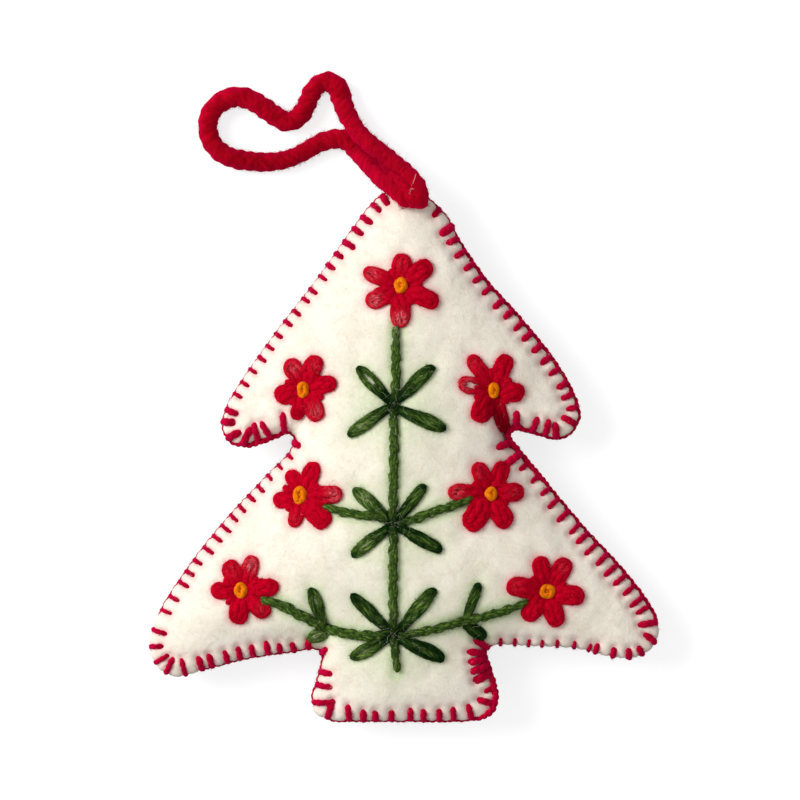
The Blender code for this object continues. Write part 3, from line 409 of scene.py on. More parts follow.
def on_tree(shares):
    """Return places on the tree from their shares of its width and height."""
    return np.array(shares, dtype=float) * (TREE_WIDTH, TREE_HEIGHT)


def tree_edge():
    """Return the stitched tree's outer edge as a dense closed line, the tip first."""
    line = smooth_line(on_tree(OUTLINE_SHARES), closed=True)
    return spaced(line - (line.min(axis=0) + line.max(axis=0)) / 2, EDGE_STEP, closed=True)


def inward(line, reach):
    """Return the inward direction at each point of a closed line, read over reach points."""
    tangent = np.roll(line, -reach, axis=0) - np.roll(line, reach, axis=0)
    return unit(np.column_stack([-tangent[:, 1], tangent[:, 0]]))


def direction(degrees):
    """Return the unit direction of an angle measured from +X towards +Y."""
    return np.array([math.cos(math.radians(degrees)), math.sin(math.radians(degrees))])


def distance_to_points(places, line):
    """Return each place's distance to the nearest point of a line, in blocks."""
    found = []
    for start in range(0, len(places), 2000):
        block = places[start:start + 2000]
        gaps = ((block[:, None, :] - line[None, :, :]) ** 2).sum(axis=2)
        found.append(np.sqrt(gaps.min(axis=1)))
    return np.concatenate(found)


def distance_to_span(places, start, end):
    """Return each place's distance to a straight span."""
    span = end - start
    share = np.clip(((places - start) @ span) / max(span @ span, 1e-12), 0, 1)
    return np.linalg.norm(places - (start + share[:, None] * span), axis=1)


def smooth_noise(places, size, seed):
    """Return a smooth wander from -1 to 1 over the plane, with lumps of about one size."""
    rng = np.random.default_rng(seed)
    waves = 14
    total = np.zeros(len(places))
    for _ in range(waves):
        heading = rng.uniform(0, 2 * math.pi)
        wave = 2 * math.pi / (size * rng.uniform(0.7, 1.6))
        phase = rng.uniform(0, 2 * math.pi)
        total += np.sin(places @ (wave * np.array([math.cos(heading), math.sin(heading)])) + phase)
    return total / waves * 2.2


# Meshes

def new_mesh_object(name, points, faces, attributes, material):
    """Return a smooth-shaded mesh object with its attributes, linked to the scene."""
    mesh = bpy.data.meshes.new(name)
    mesh.from_pydata(np.asarray(points).tolist(), [], faces)
    for label, (kind, values) in attributes.items():
        layer = mesh.attributes.new(label, kind, "POINT")
        layer.data.foreach_set("vector" if kind == "FLOAT_VECTOR" else "value",
                               np.asarray(values, dtype=np.float32).ravel())
    mesh.shade_smooth()
    mesh.materials.append(material)
    piece = bpy.data.objects.new(name, mesh)
    bpy.context.scene.collection.objects.link(piece)
    return piece


def place_piece(piece, slot, *nodes):
    """Let a piece ride on the tree in place of its CAD nodes."""
    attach(piece, BODY)
    if nodes:
        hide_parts(*nodes)


def framed(line, ups):
    """Return a line with its sideways and upward directions at each point."""
    run = unit(np.gradient(line, axis=0))
    sideways = np.cross(run, ups)
    sizes = np.linalg.norm(sideways, axis=1)
    for i in np.nonzero(sizes < 0.15)[0]:
        sideways[i] = sideways[i - 1] if i else np.cross(run[i], (1.0, 0.3, 0.1))
    sideways = unit(sideways)
    return line, sideways, np.cross(sideways, run)


class Wool:
    """Gathers the tubes and loose fibres of one piece of yarn work."""

    def __init__(self):
        self.points, self.faces, self.places, self.count = [], [], [], 0
        self.spots = []

    def add(self, points, faces, places):
        """Add points, faces that count from zero, and the yarn place of each point."""
        self.points.append(points)
        self.places.append(places)
        self.faces.extend([[i + self.count for i in face] for face in faces])
        self.count += len(points)

    def add_tube(self, line, ups, radii, sides, twist, squash=1.0, rough=0.06):
        """Add one closed tube along a line; twist is its fibres' turn at each point."""
        line, sideways, ups = framed(line, ups)
        count = len(line)
        turns = np.linspace(0, 2 * math.pi, sides, endpoint=False)
        ring = (np.cos(turns)[None, :, None] * sideways[:, None, :]
                + np.sin(turns)[None, :, None] * ups[:, None, :] * squash)
        lumps = np.random.default_rng(self.count).normal(size=(count, sides))
        lumps = (lumps + np.roll(lumps, 1, axis=0) + np.roll(lumps, -1, axis=0)) / 1.7
        radii = radii.reshape(count, -1) * (1 + rough * lumps)
        points = (line[:, None, :] + ring * radii[:, :, None]).reshape(-1, 3)
        along = np.repeat(lengths_along(line), sides)
        around = np.tile(turns, count) + np.repeat(twist, sides)
        places = np.column_stack([np.cos(around), np.sin(around), along / MM])
        cap = 0.35
        ends = [line[0] * (1 + cap) - line[1] * cap, line[-1] * (1 + cap) - line[-2] * cap]
        first, last, final = count * sides, count * sides + 1, (count - 1) * sides
        faces = [(i + k, i + (k + 1) % sides, i + sides + (k + 1) % sides, i + sides + k)
                 for i in range(0, final, sides) for k in range(sides)]
        for k in range(sides):
            after = (k + 1) % sides
            faces += [(first, after, k), (last, final + k, final + after)]
        self.add(np.vstack([points, ends]), faces, np.vstack([places, places[:1], places[-1:]]))

    def add_yarn(self, line, ups, width, pitch, sides=7, step=0.25 * MM, phase=0.0, depth=1.0, squash=1.0):
        """Add a yarn of two plies along a line, twisted once in each pitch."""
        along = lengths_along(line)
        places = np.linspace(0, along[-1], max(5, round(along[-1] / step)))
        width = np.interp(places, along, np.broadcast_to(width, len(line)))
        ups = read_line(np.broadcast_to(ups, line.shape), along, places)
        line, sideways, ups = framed(read_line(line, along, places), ups)
        swell = 0.3 + 0.7 * rounded_ends(places, width * 0.55)
        for ply in range(2):
            turn = places / pitch * 2 * math.pi + ply * math.pi + phase
            shift = width * 0.245 * swell * depth
            path = (line + sideways * (np.cos(turn) * shift)[:, None]
                    + ups * (np.sin(turn) * shift * squash)[:, None])
            thick = width * (0.56 + (1 - depth) * 0.36)
            self.add_tube(path, ups, thick / 2 * swell, sides, turn, squash)

    def add_fibres(self, roots, ways, length, width, seed, curl=0.5):
        """Add fine curved fibres that start at the roots and lead off along the ways."""
        rng = np.random.default_rng(seed)
        count = len(roots)
        if count == 0:
            return
        ways = unit(ways)
        sizes = length * rng.uniform(0.35, 1.25, count)[:, None]
        bends = rng.normal(size=(count, 3))
        bends -= ways * (bends * ways).sum(axis=1)[:, None]
        middle = roots + ways * sizes * 0.5 + bends * sizes * curl * 0.12
        tip = roots + ways * sizes * 0.85 + bends * sizes * curl * 0.42
        aside = unit(np.cross(ways, bends))
        over = np.cross(aside, ways)
        rows = [centre + (aside * math.cos(angle) + over * math.sin(angle)) * width / 2 * share
                for centre, share in ((roots, 1.0), (middle, 0.75))
                for angle in (0, 2 * math.pi / 3, 4 * math.pi / 3)]
        points = np.stack([*rows, tip], axis=1).reshape(-1, 3)
        pattern = [(0, 2, 1), (0, 1, 4, 3), (1, 2, 5, 4), (2, 0, 3, 5), (3, 4, 6), (4, 5, 6), (5, 3, 6)]
        faces = [[i * 7 + k for k in face] for i in range(count) for face in pattern]
        place = np.repeat(np.column_stack([rng.uniform(-1, 1, count), rng.uniform(-1, 1, count),
                                           rng.uniform(0, 90, count)]), 7, axis=0)
        self.add(points, faces, place)

    def add_fuzz(self, line, ups, width, per_mm, length, seed, thin=YARN_FUZZ, lean=0.9, squash=1.0):
        """Add fibres that stand off a yarn along its whole length."""
        rng = np.random.default_rng(seed)
        along = lengths_along(line)
        count = int(along[-1] * 1000 * per_mm)
        if count < 1:
            return
        at = np.sort(rng.uniform(0, along[-1], count))
        centre = read_line(line, along, at)
        ahead = read_line(line, along, np.minimum(at + 0.3 * MM, along[-1]))
        behind = read_line(line, along, np.maximum(at - 0.3 * MM, 0))
        run = unit(ahead - behind)
        up = read_line(np.broadcast_to(ups, line.shape), along, at)
        side = unit(np.cross(run, up))
        turn = rng.uniform(-0.25, math.pi + 0.25, count)
        out = side * np.cos(turn)[:, None] + up * np.sin(turn)[:, None] * squash
        slant = run * rng.normal(0, lean, count)[:, None]
        self.add_fibres(centre + out * width * 0.42, out + slant, length, thin, seed + 1)

    def tint(self, place, reach, amount, first=0):
        """Darken the wool round a flat place, or wear it pale where amount is above zero, from a point on."""
        self.spots.append((np.asarray(place), reach, amount, first))

    def tint_crosses(self, reach, amount):
        """Darken the wool round the middle of each cross of leaves with painted shade where the yarns meet,
        or wear it pale where amount is above zero.
        """
        for share in CROSSES:
            self.tint(on_tree(share), reach, amount)

    def build(self, name, material):
        """Return the gathered work as one object."""
        points = np.vstack(self.points)
        tone = np.zeros(len(points))
        for place, reach, amount, first in self.spots:
            tone[first:] += amount * fall_off(np.linalg.norm(points[first:, :2] - place, axis=1), reach)
        layers = {"yarn_place": ("FLOAT_VECTOR", np.vstack(self.places)), "tone": ("FLOAT", tone)}
        return new_mesh_object(name, points, self.faces, layers, material)


def rounded_ends(places, reach):
    """Return a share that rises from nothing to one like a quarter circle at both ends of a line."""
    ends = np.clip(np.minimum(places, places[-1] - places) / reach, 0, 1)
    return np.sqrt(1 - (1 - ends) ** 2)


# Felt

def edge_legs():
    """Return each leg's place along the edge, its reach, its lean and its thickness, a little uneven."""
    rng = np.random.default_rng(17)
    legs = []
    for first, last, count, reach, lean, thickness in LEG_RUNS:
        slip = 0.4 if count > 2 else 0.0
        for place in np.linspace(first, last, count):
            legs.append((place + rng.uniform(-slip, slip), reach * rng.uniform(0.93, 1.07),
                         lean + rng.uniform(-0.15, 0.15), thickness))
    return legs


def leg_spans(edge):
    """Return for each leg its start on the edge, its end over the felt and its inward way."""
    ways = inward(edge, 14)
    along = lengths_along(np.vstack([edge, edge[:1]]))
    spans = []
    for place, reach, lean, _ in edge_legs():
        i = int(np.searchsorted(along, place / EDGE_LENGTH_MM * along[-1])) % len(edge)
        way = ways[i]
        side = np.array([way[1], -way[0]])
        spans.append((edge[i] + way * 0.1 * MM, edge[i] + way * reach * MM - side * lean * MM, way))
    return spans


def embroidery_lines():
    """Return every line of yarn on the front as a flat line with the width that it covers."""
    lines = [(smooth_line(on_tree(STEM_SHARES)), 1.1 * MM)]
    lines += [(smooth_line(on_tree(shares)), 1.0 * MM) for shares in BRANCH_SHARES.values()]
    lines += [(np.linspace(on_tree(root), on_tree(tip), 12), 1.5 * MM)
              for root, tip, _, _, _ in LEAF_SHARES.values()]
    for place, petals in FLOWERS.values():
        for degrees, reach, width, _, _ in petals:
            end = on_tree(place) + direction(degrees) * reach * MM
            lines.append((np.linspace(on_tree(place), end, 10), width * MM * 0.42))
    return lines


def felt_rim(edge):
    """Return the felt's flat cut edge, drawn in at each leg and bulging between them."""
    pinch = distance_to_points(edge, np.array([start for start, _, _ in leg_spans(edge)]))
    bulge = np.clip(pinch / (1.5 * MM), 0, 1)
    return spaced(edge + inward(edge, 6) * (RIM_INSET - RIM_BULGE * bulge)[:, None], RIM_STEP, closed=True)


def felt_sheet(rim, fine, coarse):
    """Return the flat points of a sheet, its rim first and finer near it, and its triangles."""
    fine_band = 6.5 * MM
    places = []
    for step, near, far in ((fine, fine * 0.7, fine_band), (coarse, fine_band, TREE_WIDTH)):
        row_step = step * math.sin(math.radians(60))
        rows = math.ceil(TREE_HEIGHT / row_step / 2)
        columns = math.ceil(TREE_WIDTH / step / 2)
        grid = np.array([((c + (r % 2) / 2) * step, r * row_step)
                         for r in range(-rows, rows + 1) for c in range(-columns, columns + 1)])
        grid = grid[inside(grid, rim[::2])]
        gaps = distance_to_points(grid, rim)
        places.append(grid[(gaps > near) & (gaps <= far)])
    places = np.vstack([rim, *places])
    return places, triangulate(places, len(rim))


def inside(places, line):
    """Tell which places lie within a closed line."""
    crossings = np.zeros(len(places), dtype=int)
    for (x1, y1), (x2, y2) in zip(line, np.roll(line, -1, axis=0)):
        if y1 == y2:
            continue
        spans = (y1 > places[:, 1]) != (y2 > places[:, 1])
        crossings += spans & (places[:, 0] < x1 + (places[:, 1] - y1) * (x2 - x1) / (y2 - y1))
    return crossings % 2 == 1


def triangulate(places, rim_count):
    """Return the triangles of a flat sheet of points, whose rim comes first."""
    ring = [(i, (i + 1) % rim_count) for i in range(rim_count)]
    corners = [Vector(place) for place in places]
    found, _, triangles, origins, _, _ = delaunay_2d_cdt(corners, ring, [], 1, 1e-7)
    if len(found) != len(places):
        raise RuntimeError("felt points fall on each other")
    order = [origin[0] for origin in origins]
    return np.array([[order[i] for i in triangle] for triangle in triangles])


def pillow_shares(places, triangles, rim_count):
    """Return each point's height under an even pressure, as a share of the highest."""
    a, b, c = (places[triangles[:, k]] for k in range(3))
    area = np.abs((b - a)[:, 0] * (c - a)[:, 1] - (b - a)[:, 1] * (c - a)[:, 0]) / 2
    rows, columns, values = [], [], []
    for i, j, k in ((0, 1, 2), (1, 2, 0), (2, 0, 1)):
        p, q, r = places[triangles[:, i]], places[triangles[:, j]], places[triangles[:, k]]
        cotan = ((p - r) * (q - r)).sum(axis=1) / (2 * area)
        rows += [triangles[:, i], triangles[:, j]]
        columns += [triangles[:, j], triangles[:, i]]
        values += [cotan / 2, cotan / 2]
    rows, columns, values = (np.concatenate(part) for part in (rows, columns, values))
    count = len(places)
    diagonal = np.bincount(rows, weights=values, minlength=count)
    load = np.bincount(triangles.ravel(), weights=np.repeat(area / 3, 3), minlength=count)
    free = np.arange(count) >= rim_count
    height = np.zeros(count)
    left = np.where(free, load, 0.0)
    step = left / np.maximum(diagonal, 1e-12)
    near = left @ step
    for _ in range(900):
        pull = diagonal * step - np.bincount(rows, weights=values * step[columns], minlength=count)
        pull[~free] = 0
        rate = near / max(step @ pull, 1e-30)
        height += rate * step
        left -= rate * pull
        eased = np.where(free, left / np.maximum(diagonal, 1e-12), 0.0)
        after = left @ eased
        if after < 1e-16:
            break
        step = eased + step * after / near
        near = after
    return np.clip(height / height.max(), 0, 1)


class BlownPillow:
    """Two coarse sheets sewn at the edge and blown up by a cloth simulation."""

    SCALE = 10.0
    LAST_FRAME = 24

    def __init__(self, edge, front_dome, back_dome):
        self.surface = None
        rim = edge[::10]
        places, triangles = felt_sheet(rim, *PILLOW_GRID)
        rim_count, count = len(rim), len(places)
        start = pillow_shares(places, triangles, rim_count) ** 0.6 * 0.7
        rear = np.arange(count)
        rear[rim_count:] += count - rim_count
        points = np.vstack([np.column_stack([places, start * front_dome]),
                            np.column_stack([places, -start * back_dome])[rim_count:]]) * self.SCALE
        faces = triangles.tolist() + rear[triangles[:, ::-1]].tolist()
        mesh = bpy.data.meshes.new("blown_pillow")
        mesh.from_pydata(points.tolist(), [], faces)
        pillow = bpy.data.objects.new("blown_pillow", mesh)
        scene = bpy.context.scene
        scene.collection.objects.link(pillow)
        pillow.vertex_groups.new(name="seam").add(list(range(rim_count)), 1.0, "REPLACE")
        points = self.blow(scene, pillow)
        self.surface = BVHTree.FromPolygons([Vector(point) for point in points / self.SCALE], faces)
        bpy.data.objects.remove(pillow)
        bpy.data.meshes.remove(mesh)

    def blow(self, scene, pillow):
        """Run the cloth simulation on the pillow and return its last points."""
        cloth = pillow.modifiers.new("blow", "CLOTH")
        settings = cloth.settings
        settings.quality = 7
        settings.mass = 0.25
        settings.tension_stiffness = settings.compression_stiffness = 18
        settings.shear_stiffness = 6
        settings.bending_stiffness = 1.5
        settings.air_damping = 2.0
        settings.shrink_min = 0.0
        settings.vertex_group_mass = "seam"
        settings.use_pressure = True
        settings.uniform_pressure_force = 4.0
        settings.effector_weights.gravity = 0.0
        cloth.collision_settings.use_collision = False
        cloth.point_cache.frame_start = 1
        cloth.point_cache.frame_end = self.LAST_FRAME
        for moment in range(1, self.LAST_FRAME + 1):
            scene.frame_set(moment)
        blown = pillow.evaluated_get(bpy.context.evaluated_depsgraph_get()).to_mesh()
        points = np.empty(len(blown.vertices) * 3)
        blown.vertices.foreach_get("co", points)
        scene.frame_set(1)
        return points.reshape(-1, 3)

    def shares(self, places, triangles, rim_count, side):
        """Return each flat place's height as a share of the highest, as full as a plain dome."""
        plain = pillow_shares(places, triangles, rim_count) ** 0.58
        if self.surface is None:
            return plain
        found = np.zeros(len(places))
        for index in range(rim_count, len(places)):
            start = Vector((places[index, 0], places[index, 1], 0.0))
            hit = self.surface.ray_cast(start, Vector((0, 0, side)))[0]
            found[index] = abs(hit.z) if hit else 0.0
        found = np.clip(found / np.percentile(found, 99.8), 0, 1)
        powers = np.arange(0.40, 1.60, 0.02)
        fits = [abs(np.mean(found ** power) - plain.mean()) for power in powers]
        return found ** powers[int(np.argmin(fits))]


def soft_lumps(triangles, count, rounds, seed):
    """Return a random value at each point, smoothed over its neighbours, with a spread of one."""
    values = np.random.default_rng(seed).normal(size=count)
    starts = triangles.ravel()
    ends = np.roll(triangles, 1, axis=1).ravel()
    shares = np.bincount(starts, minlength=count) + np.bincount(ends, minlength=count)
    for _ in range(rounds):
        sums = (np.bincount(starts, weights=values[ends], minlength=count)
                + np.bincount(ends, weights=values[starts], minlength=count))
        values = (values + sums / np.maximum(shares, 1)) / 2
    return values / values.std()


def felt_rises(pillow, places, triangles, rim_count, edge, side, dome):
    """Return how far the felt rises from the seam at each flat place."""
    shares = pillow.shares(places, triangles, rim_count, side)
    rises = shares * dome * 1.02
    gaps = distance_to_points(places, places[:rim_count])
    body = np.clip(gaps / (6 * MM), 0, 1)
    for size, seed, height in ((17, 5, 0.34), (6, 7, 0.10)):
        rises += smooth_noise(places, size * MM, seed + (side < 0)) * height * MM * body
    for start, end, _ in leg_spans(edge):
        rises -= LEG_DENT[0] * fall_off(distance_to_span(places, start, end), LEG_DENT[1])
        rises -= HOLE_DENT[0] * fall_off(np.linalg.norm(places - end, axis=1), HOLE_DENT[1])
    if side > 0:
        for start, end, depth, width in CREASES:
            near = distance_to_span(places, on_tree(start), on_tree(end))
            rises -= depth * MM * fall_off(near, width * MM)
        for line, width in embroidery_lines():
            rises -= YARN_DENT * fall_off(distance_to_points(places, spaced(line, 0.6 * MM)), width * 1.25)
    rises = np.maximum(rises, shares ** 1.7 * 0.5 * MM)
    return np.minimum(rises, dome) if side < 0 else rises


def felt_solid(name, side, pillow, material):
    """Build one felt panel: a pillow-shaped sheet with a rounded cut edge, pulled in by its stitches."""
    sizes = bpy.context.scene.tree_sizes
    edge = tree_edge()
    rim = felt_rim(edge)
    rim_count = len(rim)
    places, triangles = felt_sheet(rim, *(FRONT_GRID if side > 0 else BACK_GRID))
    count = len(places)
    dome = sizes.front_dome if side > 0 else sizes.back_dome
    rises = felt_rises(pillow, places, triangles, rim_count, edge, side, dome)
    nap = (0.030 * soft_lumps(triangles, count, 14, 11) + 0.012 * soft_lumps(triangles, count, 2, 12)) * MM
    skin = SEAM_LEVEL + side * (EDGE_LIFT + sizes.felt_thickness + rises + nap)
    under, under_triangles = felt_sheet(rim, *UNDER_GRID)
    hollow = 0.94
    under_rises = felt_rises(pillow, under, under_triangles, rim_count, edge, side, dome * hollow)
    inner = SEAM_LEVEL + side * (SEAM_HALF_GAP + under_rises * hollow)
    if side < 0:
        skin = np.maximum(skin, FLOOR_GAP + (nap + 0.05 * MM) * 0.3)
        inner = np.maximum(inner, 0.7 * MM)
    way = inward(rim, 3)
    skin[:rim_count] -= side * EDGE_ROUNDING
    outline = places.copy()
    outline[:rim_count] += way * 0.12 * MM
    under[:rim_count] += way * 0.10 * MM
    low = np.full(rim_count, SEAM_LEVEL + side * (SEAM_HALF_GAP + sizes.felt_thickness * 0.12))
    middle = np.full(rim_count, SEAM_LEVEL + side * (EDGE_LIFT + sizes.felt_thickness * 0.45))
    points = np.vstack([np.column_stack([outline, skin]), np.column_stack([rim + way * 0.02 * MM, middle]),
                        np.column_stack([rim - way * 0.02 * MM, low]), np.column_stack([under, inner])])
    base = count + 2 * rim_count
    faces = triangles[:, ::side].tolist() + (base + under_triangles[:, ::-side]).tolist()
    for upper, lower in ((0, count), (count, count + rim_count), (count + rim_count, base)):
        for i in range(rim_count):
            j = (i + 1) % rim_count
            faces.append((upper + i, lower + i, lower + j, upper + j)[::side])
    tail = np.zeros(len(points) - count)
    red, green = stains(places, edge, side)
    layers = {label: ("FLOAT", np.concatenate([values, tail]))
              for label, values in (("red_stain", red), ("green_stain", green))}
    return new_mesh_object(name, points, faces, layers, material)


def stains(places, edge, side):
    """Return how much red and green wool is rubbed into the felt at each place."""
    red = np.zeros(len(places))
    for start, end, _ in leg_spans(edge):
        red = np.maximum(red, 0.8 * fall_off(distance_to_span(places, start, end), LEG_STAIN))
    green = np.zeros(len(places))
    if side < 0:
        return red, green
    for place, petals in FLOWERS.values():
        middle = on_tree(place)
        for degrees, reach, width, _, _ in petals:
            near = distance_to_span(places, middle, middle + direction(degrees) * (reach - width / 2) * MM)
            red = np.maximum(red, fall_off(np.maximum(near - width * MM / 2, 0), PETAL_STAIN))
    lines = [on_tree(shares) for shares in (STEM_SHARES, *BRANCH_SHARES.values())]
    lines += [np.array([on_tree(root), on_tree(root) * 0.2 + on_tree(tip) * 0.8])
              for root, tip, _, _, _ in LEAF_SHARES.values()]
    for line in lines:
        near = np.maximum(distance_to_points(places, spaced(line, 0.8 * MM)) - 1.2 * MM, 0)
        green = np.maximum(green, fall_off(near, GREEN_STAIN))
        green = np.maximum(green, 0.35 * fall_off(near, GREEN_HAZE))
    for share in CROSSES:
        green = np.maximum(green, fall_off(np.linalg.norm(places - on_tree(share), axis=1), CROSS_STAIN))
    return red, green


class Skin:
    """The outer face of a felt panel, which finds the felt under a place on the tree."""

    REACH = 0.7 * MM

    def __init__(self, name, side):
        mesh = bpy.data.objects[name].data
        points = [vertex.co.copy() for vertex in mesh.vertices]
        self.tree = BVHTree.FromPolygons(points, [tuple(face.vertices) for face in mesh.polygons])
        self.side = side

    def level(self, place, otherwise):
        """Return the height of the felt at a place, or another height beside it."""
        start = Vector((*place, SEAM_LEVEL + self.side * 0.05))
        hit = self.tree.ray_cast(start, Vector((0, 0, -self.side)))[0]
        return otherwise if hit is None else hit.z

    def lay(self, flat, lift):
        """Return points lift above the felt along a flat line, and the upward way at each."""
        flat = np.asarray(flat)
        lift = np.broadcast_to(lift, len(flat))
        points, ups = [], []
        last = SEAM_LEVEL + self.side * 1.5 * MM
        for place in flat:
            here, right, left, above, below = (
                self.level(place + self.REACH * np.array(shift), last)
                for shift in ((0, 0), (1, 0), (-1, 0), (0, 1), (0, -1)))
            last = here
            ups.append(((left - right) / (2 * self.REACH), (below - above) / (2 * self.REACH), self.side))
            points.append((*place, here))
        ups = unit(np.array(ups))
        return np.array(points) + ups * lift[:, None], ups


# Materials

def fill(tree, sockets, values):
    """Link each socket that the values name to an output, or set it to a number or a colour."""
    for label, value in values:
        if isinstance(value, bpy.types.NodeSocket):
            tree.links.new(value, sockets[label])
        else:
            sockets[label].default_value = value if isinstance(value, (int, float)) else (*value, 1)


def add_node(tree, kind, values=(), **settings):
    """Return a new node of a kind, with values in its sockets and settings in its properties."""
    node = tree.nodes.new(kind)
    for label, setting in settings.items():
        setattr(node, label, setting)
    fill(tree, node.inputs, values)
    return node


def new_group(name, inputs, outputs):
    """Return an empty shader node group with its sockets, and its ends."""
    group = bpy.data.node_groups.new(name, "ShaderNodeTree")
    for label, kind, value in inputs:
        socket = group.interface.new_socket(label, in_out="INPUT", socket_type=kind)
        if value is not None:
            socket.default_value = value
    for label, kind in outputs:
        group.interface.new_socket(label, in_out="OUTPUT", socket_type=kind)
    start = group.nodes.new("NodeGroupInput")
    end = group.nodes.new("NodeGroupOutput")
    return group, start.outputs, end.inputs


def mix_colours(tree, share, first, second, mode="MIX"):
    """Return the colour output of a mix of two colour sockets or colours."""
    values = [(0, share), (6, first), (7, second)]
    return add_node(tree, "ShaderNodeMix", values, data_type="RGBA", blend_type=mode).outputs[2]


def calculate(tree, operation, *values, clamp=False):
    """Return the output of a maths node."""
    node = add_node(tree, "ShaderNodeMath", enumerate(values), operation=operation, use_clamp=clamp)
    return node.outputs[0]


def noise(tree, vector, scale, detail=2.0, roughness=0.5, distortion=0.0):
    """Return the value output of a noise texture."""
    values = [("Vector", vector), ("Scale", scale), ("Detail", detail), ("Roughness", roughness),
              ("Distortion", distortion)]
    return add_node(tree, "ShaderNodeTexNoise", values).outputs["Fac"]


def stretch(tree, value, low, high, to_low=0.0, to_high=1.0):
    """Return a value mapped from one range to another, kept within it."""
    values = [("Value", value), ("From Min", low), ("From Max", high), ("To Min", to_low),
              ("To Max", to_high)]
    return add_node(tree, "ShaderNodeMapRange", values).outputs["Result"]


def attribute(tree, name, output="Fac"):
    """Return an output of one of the mesh's attributes."""
    return add_node(tree, "ShaderNodeAttribute", attribute_name=name).outputs[output]


def object_place(tree):
    """Return the place on the object."""
    return add_node(tree, "ShaderNodeTexCoord").outputs["Object"]


PAINT_OUTPUTS = [("Colour", "NodeSocketColor"), ("Height", "NodeSocketFloat"),
                 ("Roughness", "NodeSocketFloat")]
WHITE = (1, 1, 1, 1)
BLACK = (0, 0, 0, 1)


def wool_group():
    """Return the group that paints spun wool: fine fibres along the yarn, uneven dye and worn places."""
    found = bpy.data.node_groups.get("spun_wool")
    if found:
        return found
    group, source, target = new_group(
        "spun_wool",
        [("Yarn Place", "NodeSocketVector", None), ("Tone", "NodeSocketFloat", 0.0),
         ("Light", "NodeSocketColor", WHITE), ("Dark", "NodeSocketColor", BLACK),
         ("Worn", "NodeSocketColor", WHITE), ("Dye Variation", "NodeSocketFloat", 0.5)], PAINT_OUTPUTS)
    squeeze = add_node(group, "ShaderNodeVectorMath", [(0, source["Yarn Place"])], operation="MULTIPLY")
    squeeze.inputs[1].default_value = (0.95, 0.95, 0.36)
    place = squeeze.outputs[0]
    fibres = noise(group, place, 1.6, 3.0, 0.6)
    fine = noise(group, place, 5.0, 2.0, 0.6)
    dye = noise(group, object_place(group), 420.0, 2.0, 0.55)
    blotch = calculate(group, "MULTIPLY", stretch(group, dye, 0.3, 0.7), source["Dye Variation"])
    share = calculate(group, "ADD", stretch(group, fibres, 0.44, 0.64, 0.0, 0.80), blotch, clamp=True)
    colour = mix_colours(group, share, source["Dark"], source["Light"])
    specks = stretch(group, noise(group, place, 2.4, 3.0, 0.7, 1.0), 0.50, 0.58)
    pale = calculate(group, "MULTIPLY", source["Tone"], 1.0, clamp=True)
    worn = calculate(group, "MULTIPLY", pale, specks)
    height = calculate(group, "ADD", fibres, calculate(group, "MULTIPLY", fine, 0.5))
    fill(group, target, [("Colour", mix_colours(group, worn, colour, source["Worn"])), ("Height", height),
                         ("Roughness", stretch(group, fine, 0.2, 0.8, 0.82, 0.98))])
    return group


def felt_group():
    """Return the group that paints pressed felt: tangled fibres, soft lumps and uneven shade."""
    found = bpy.data.node_groups.get("pressed_felt")
    if found:
        return found
    group, source, target = new_group(
        "pressed_felt",
        [("Place", "NodeSocketVector", None), ("Felt", "NodeSocketColor", WHITE),
         ("Shade", "NodeSocketColor", BLACK)], PAINT_OUTPUTS)
    place = source["Place"]
    patches = noise(group, place, 130.0, 3.0, 0.55, 0.4)
    lumps = noise(group, place, 480.0, 3.0, 0.6, 0.8)
    tangle = noise(group, place, 1500.0, 3.0, 0.65, 2.2)
    hairs = noise(group, place, 3600.0, 2.0, 0.6, 3.0)
    shade = calculate(group, "ADD", stretch(group, patches, 0.38, 0.70, 0.0, 0.34),
                      stretch(group, tangle, 0.46, 0.66, 0.0, 0.42), clamp=True)
    shade = calculate(group, "ADD", shade, stretch(group, lumps, 0.48, 0.72, 0.0, 0.42), clamp=True)
    height = calculate(group, "ADD", calculate(group, "MULTIPLY", lumps, 1.2), tangle)
    height = calculate(group, "ADD", height, calculate(group, "MULTIPLY", hairs, 0.4))
    fill(group, target, [("Colour", mix_colours(group, shade, source["Felt"], source["Shade"])),
                         ("Height", height), ("Roughness", stretch(group, tangle, 0.2, 0.8, 0.88, 1.0))])
    return group


def new_material(name):
    """Return a new material with its nodes and the inputs of its shader."""
    material = bpy.data.materials.new(name)
    material.use_nodes = True
    return material, material.node_tree, material.node_tree.nodes["Principled BSDF"].inputs


def paint(tree, shader, colour, painted, strength, distance):
    """Join a painted colour, and the roughness and height of a group of paint, to a shader."""
    bump = add_node(tree, "ShaderNodeBump", [("Strength", strength), ("Distance", distance),
                                             ("Height", painted.outputs["Height"])])
    fill(tree, shader, [("Base Color", colour), ("Roughness", painted.outputs["Roughness"]),
                        ("Normal", bump.outputs["Normal"])])


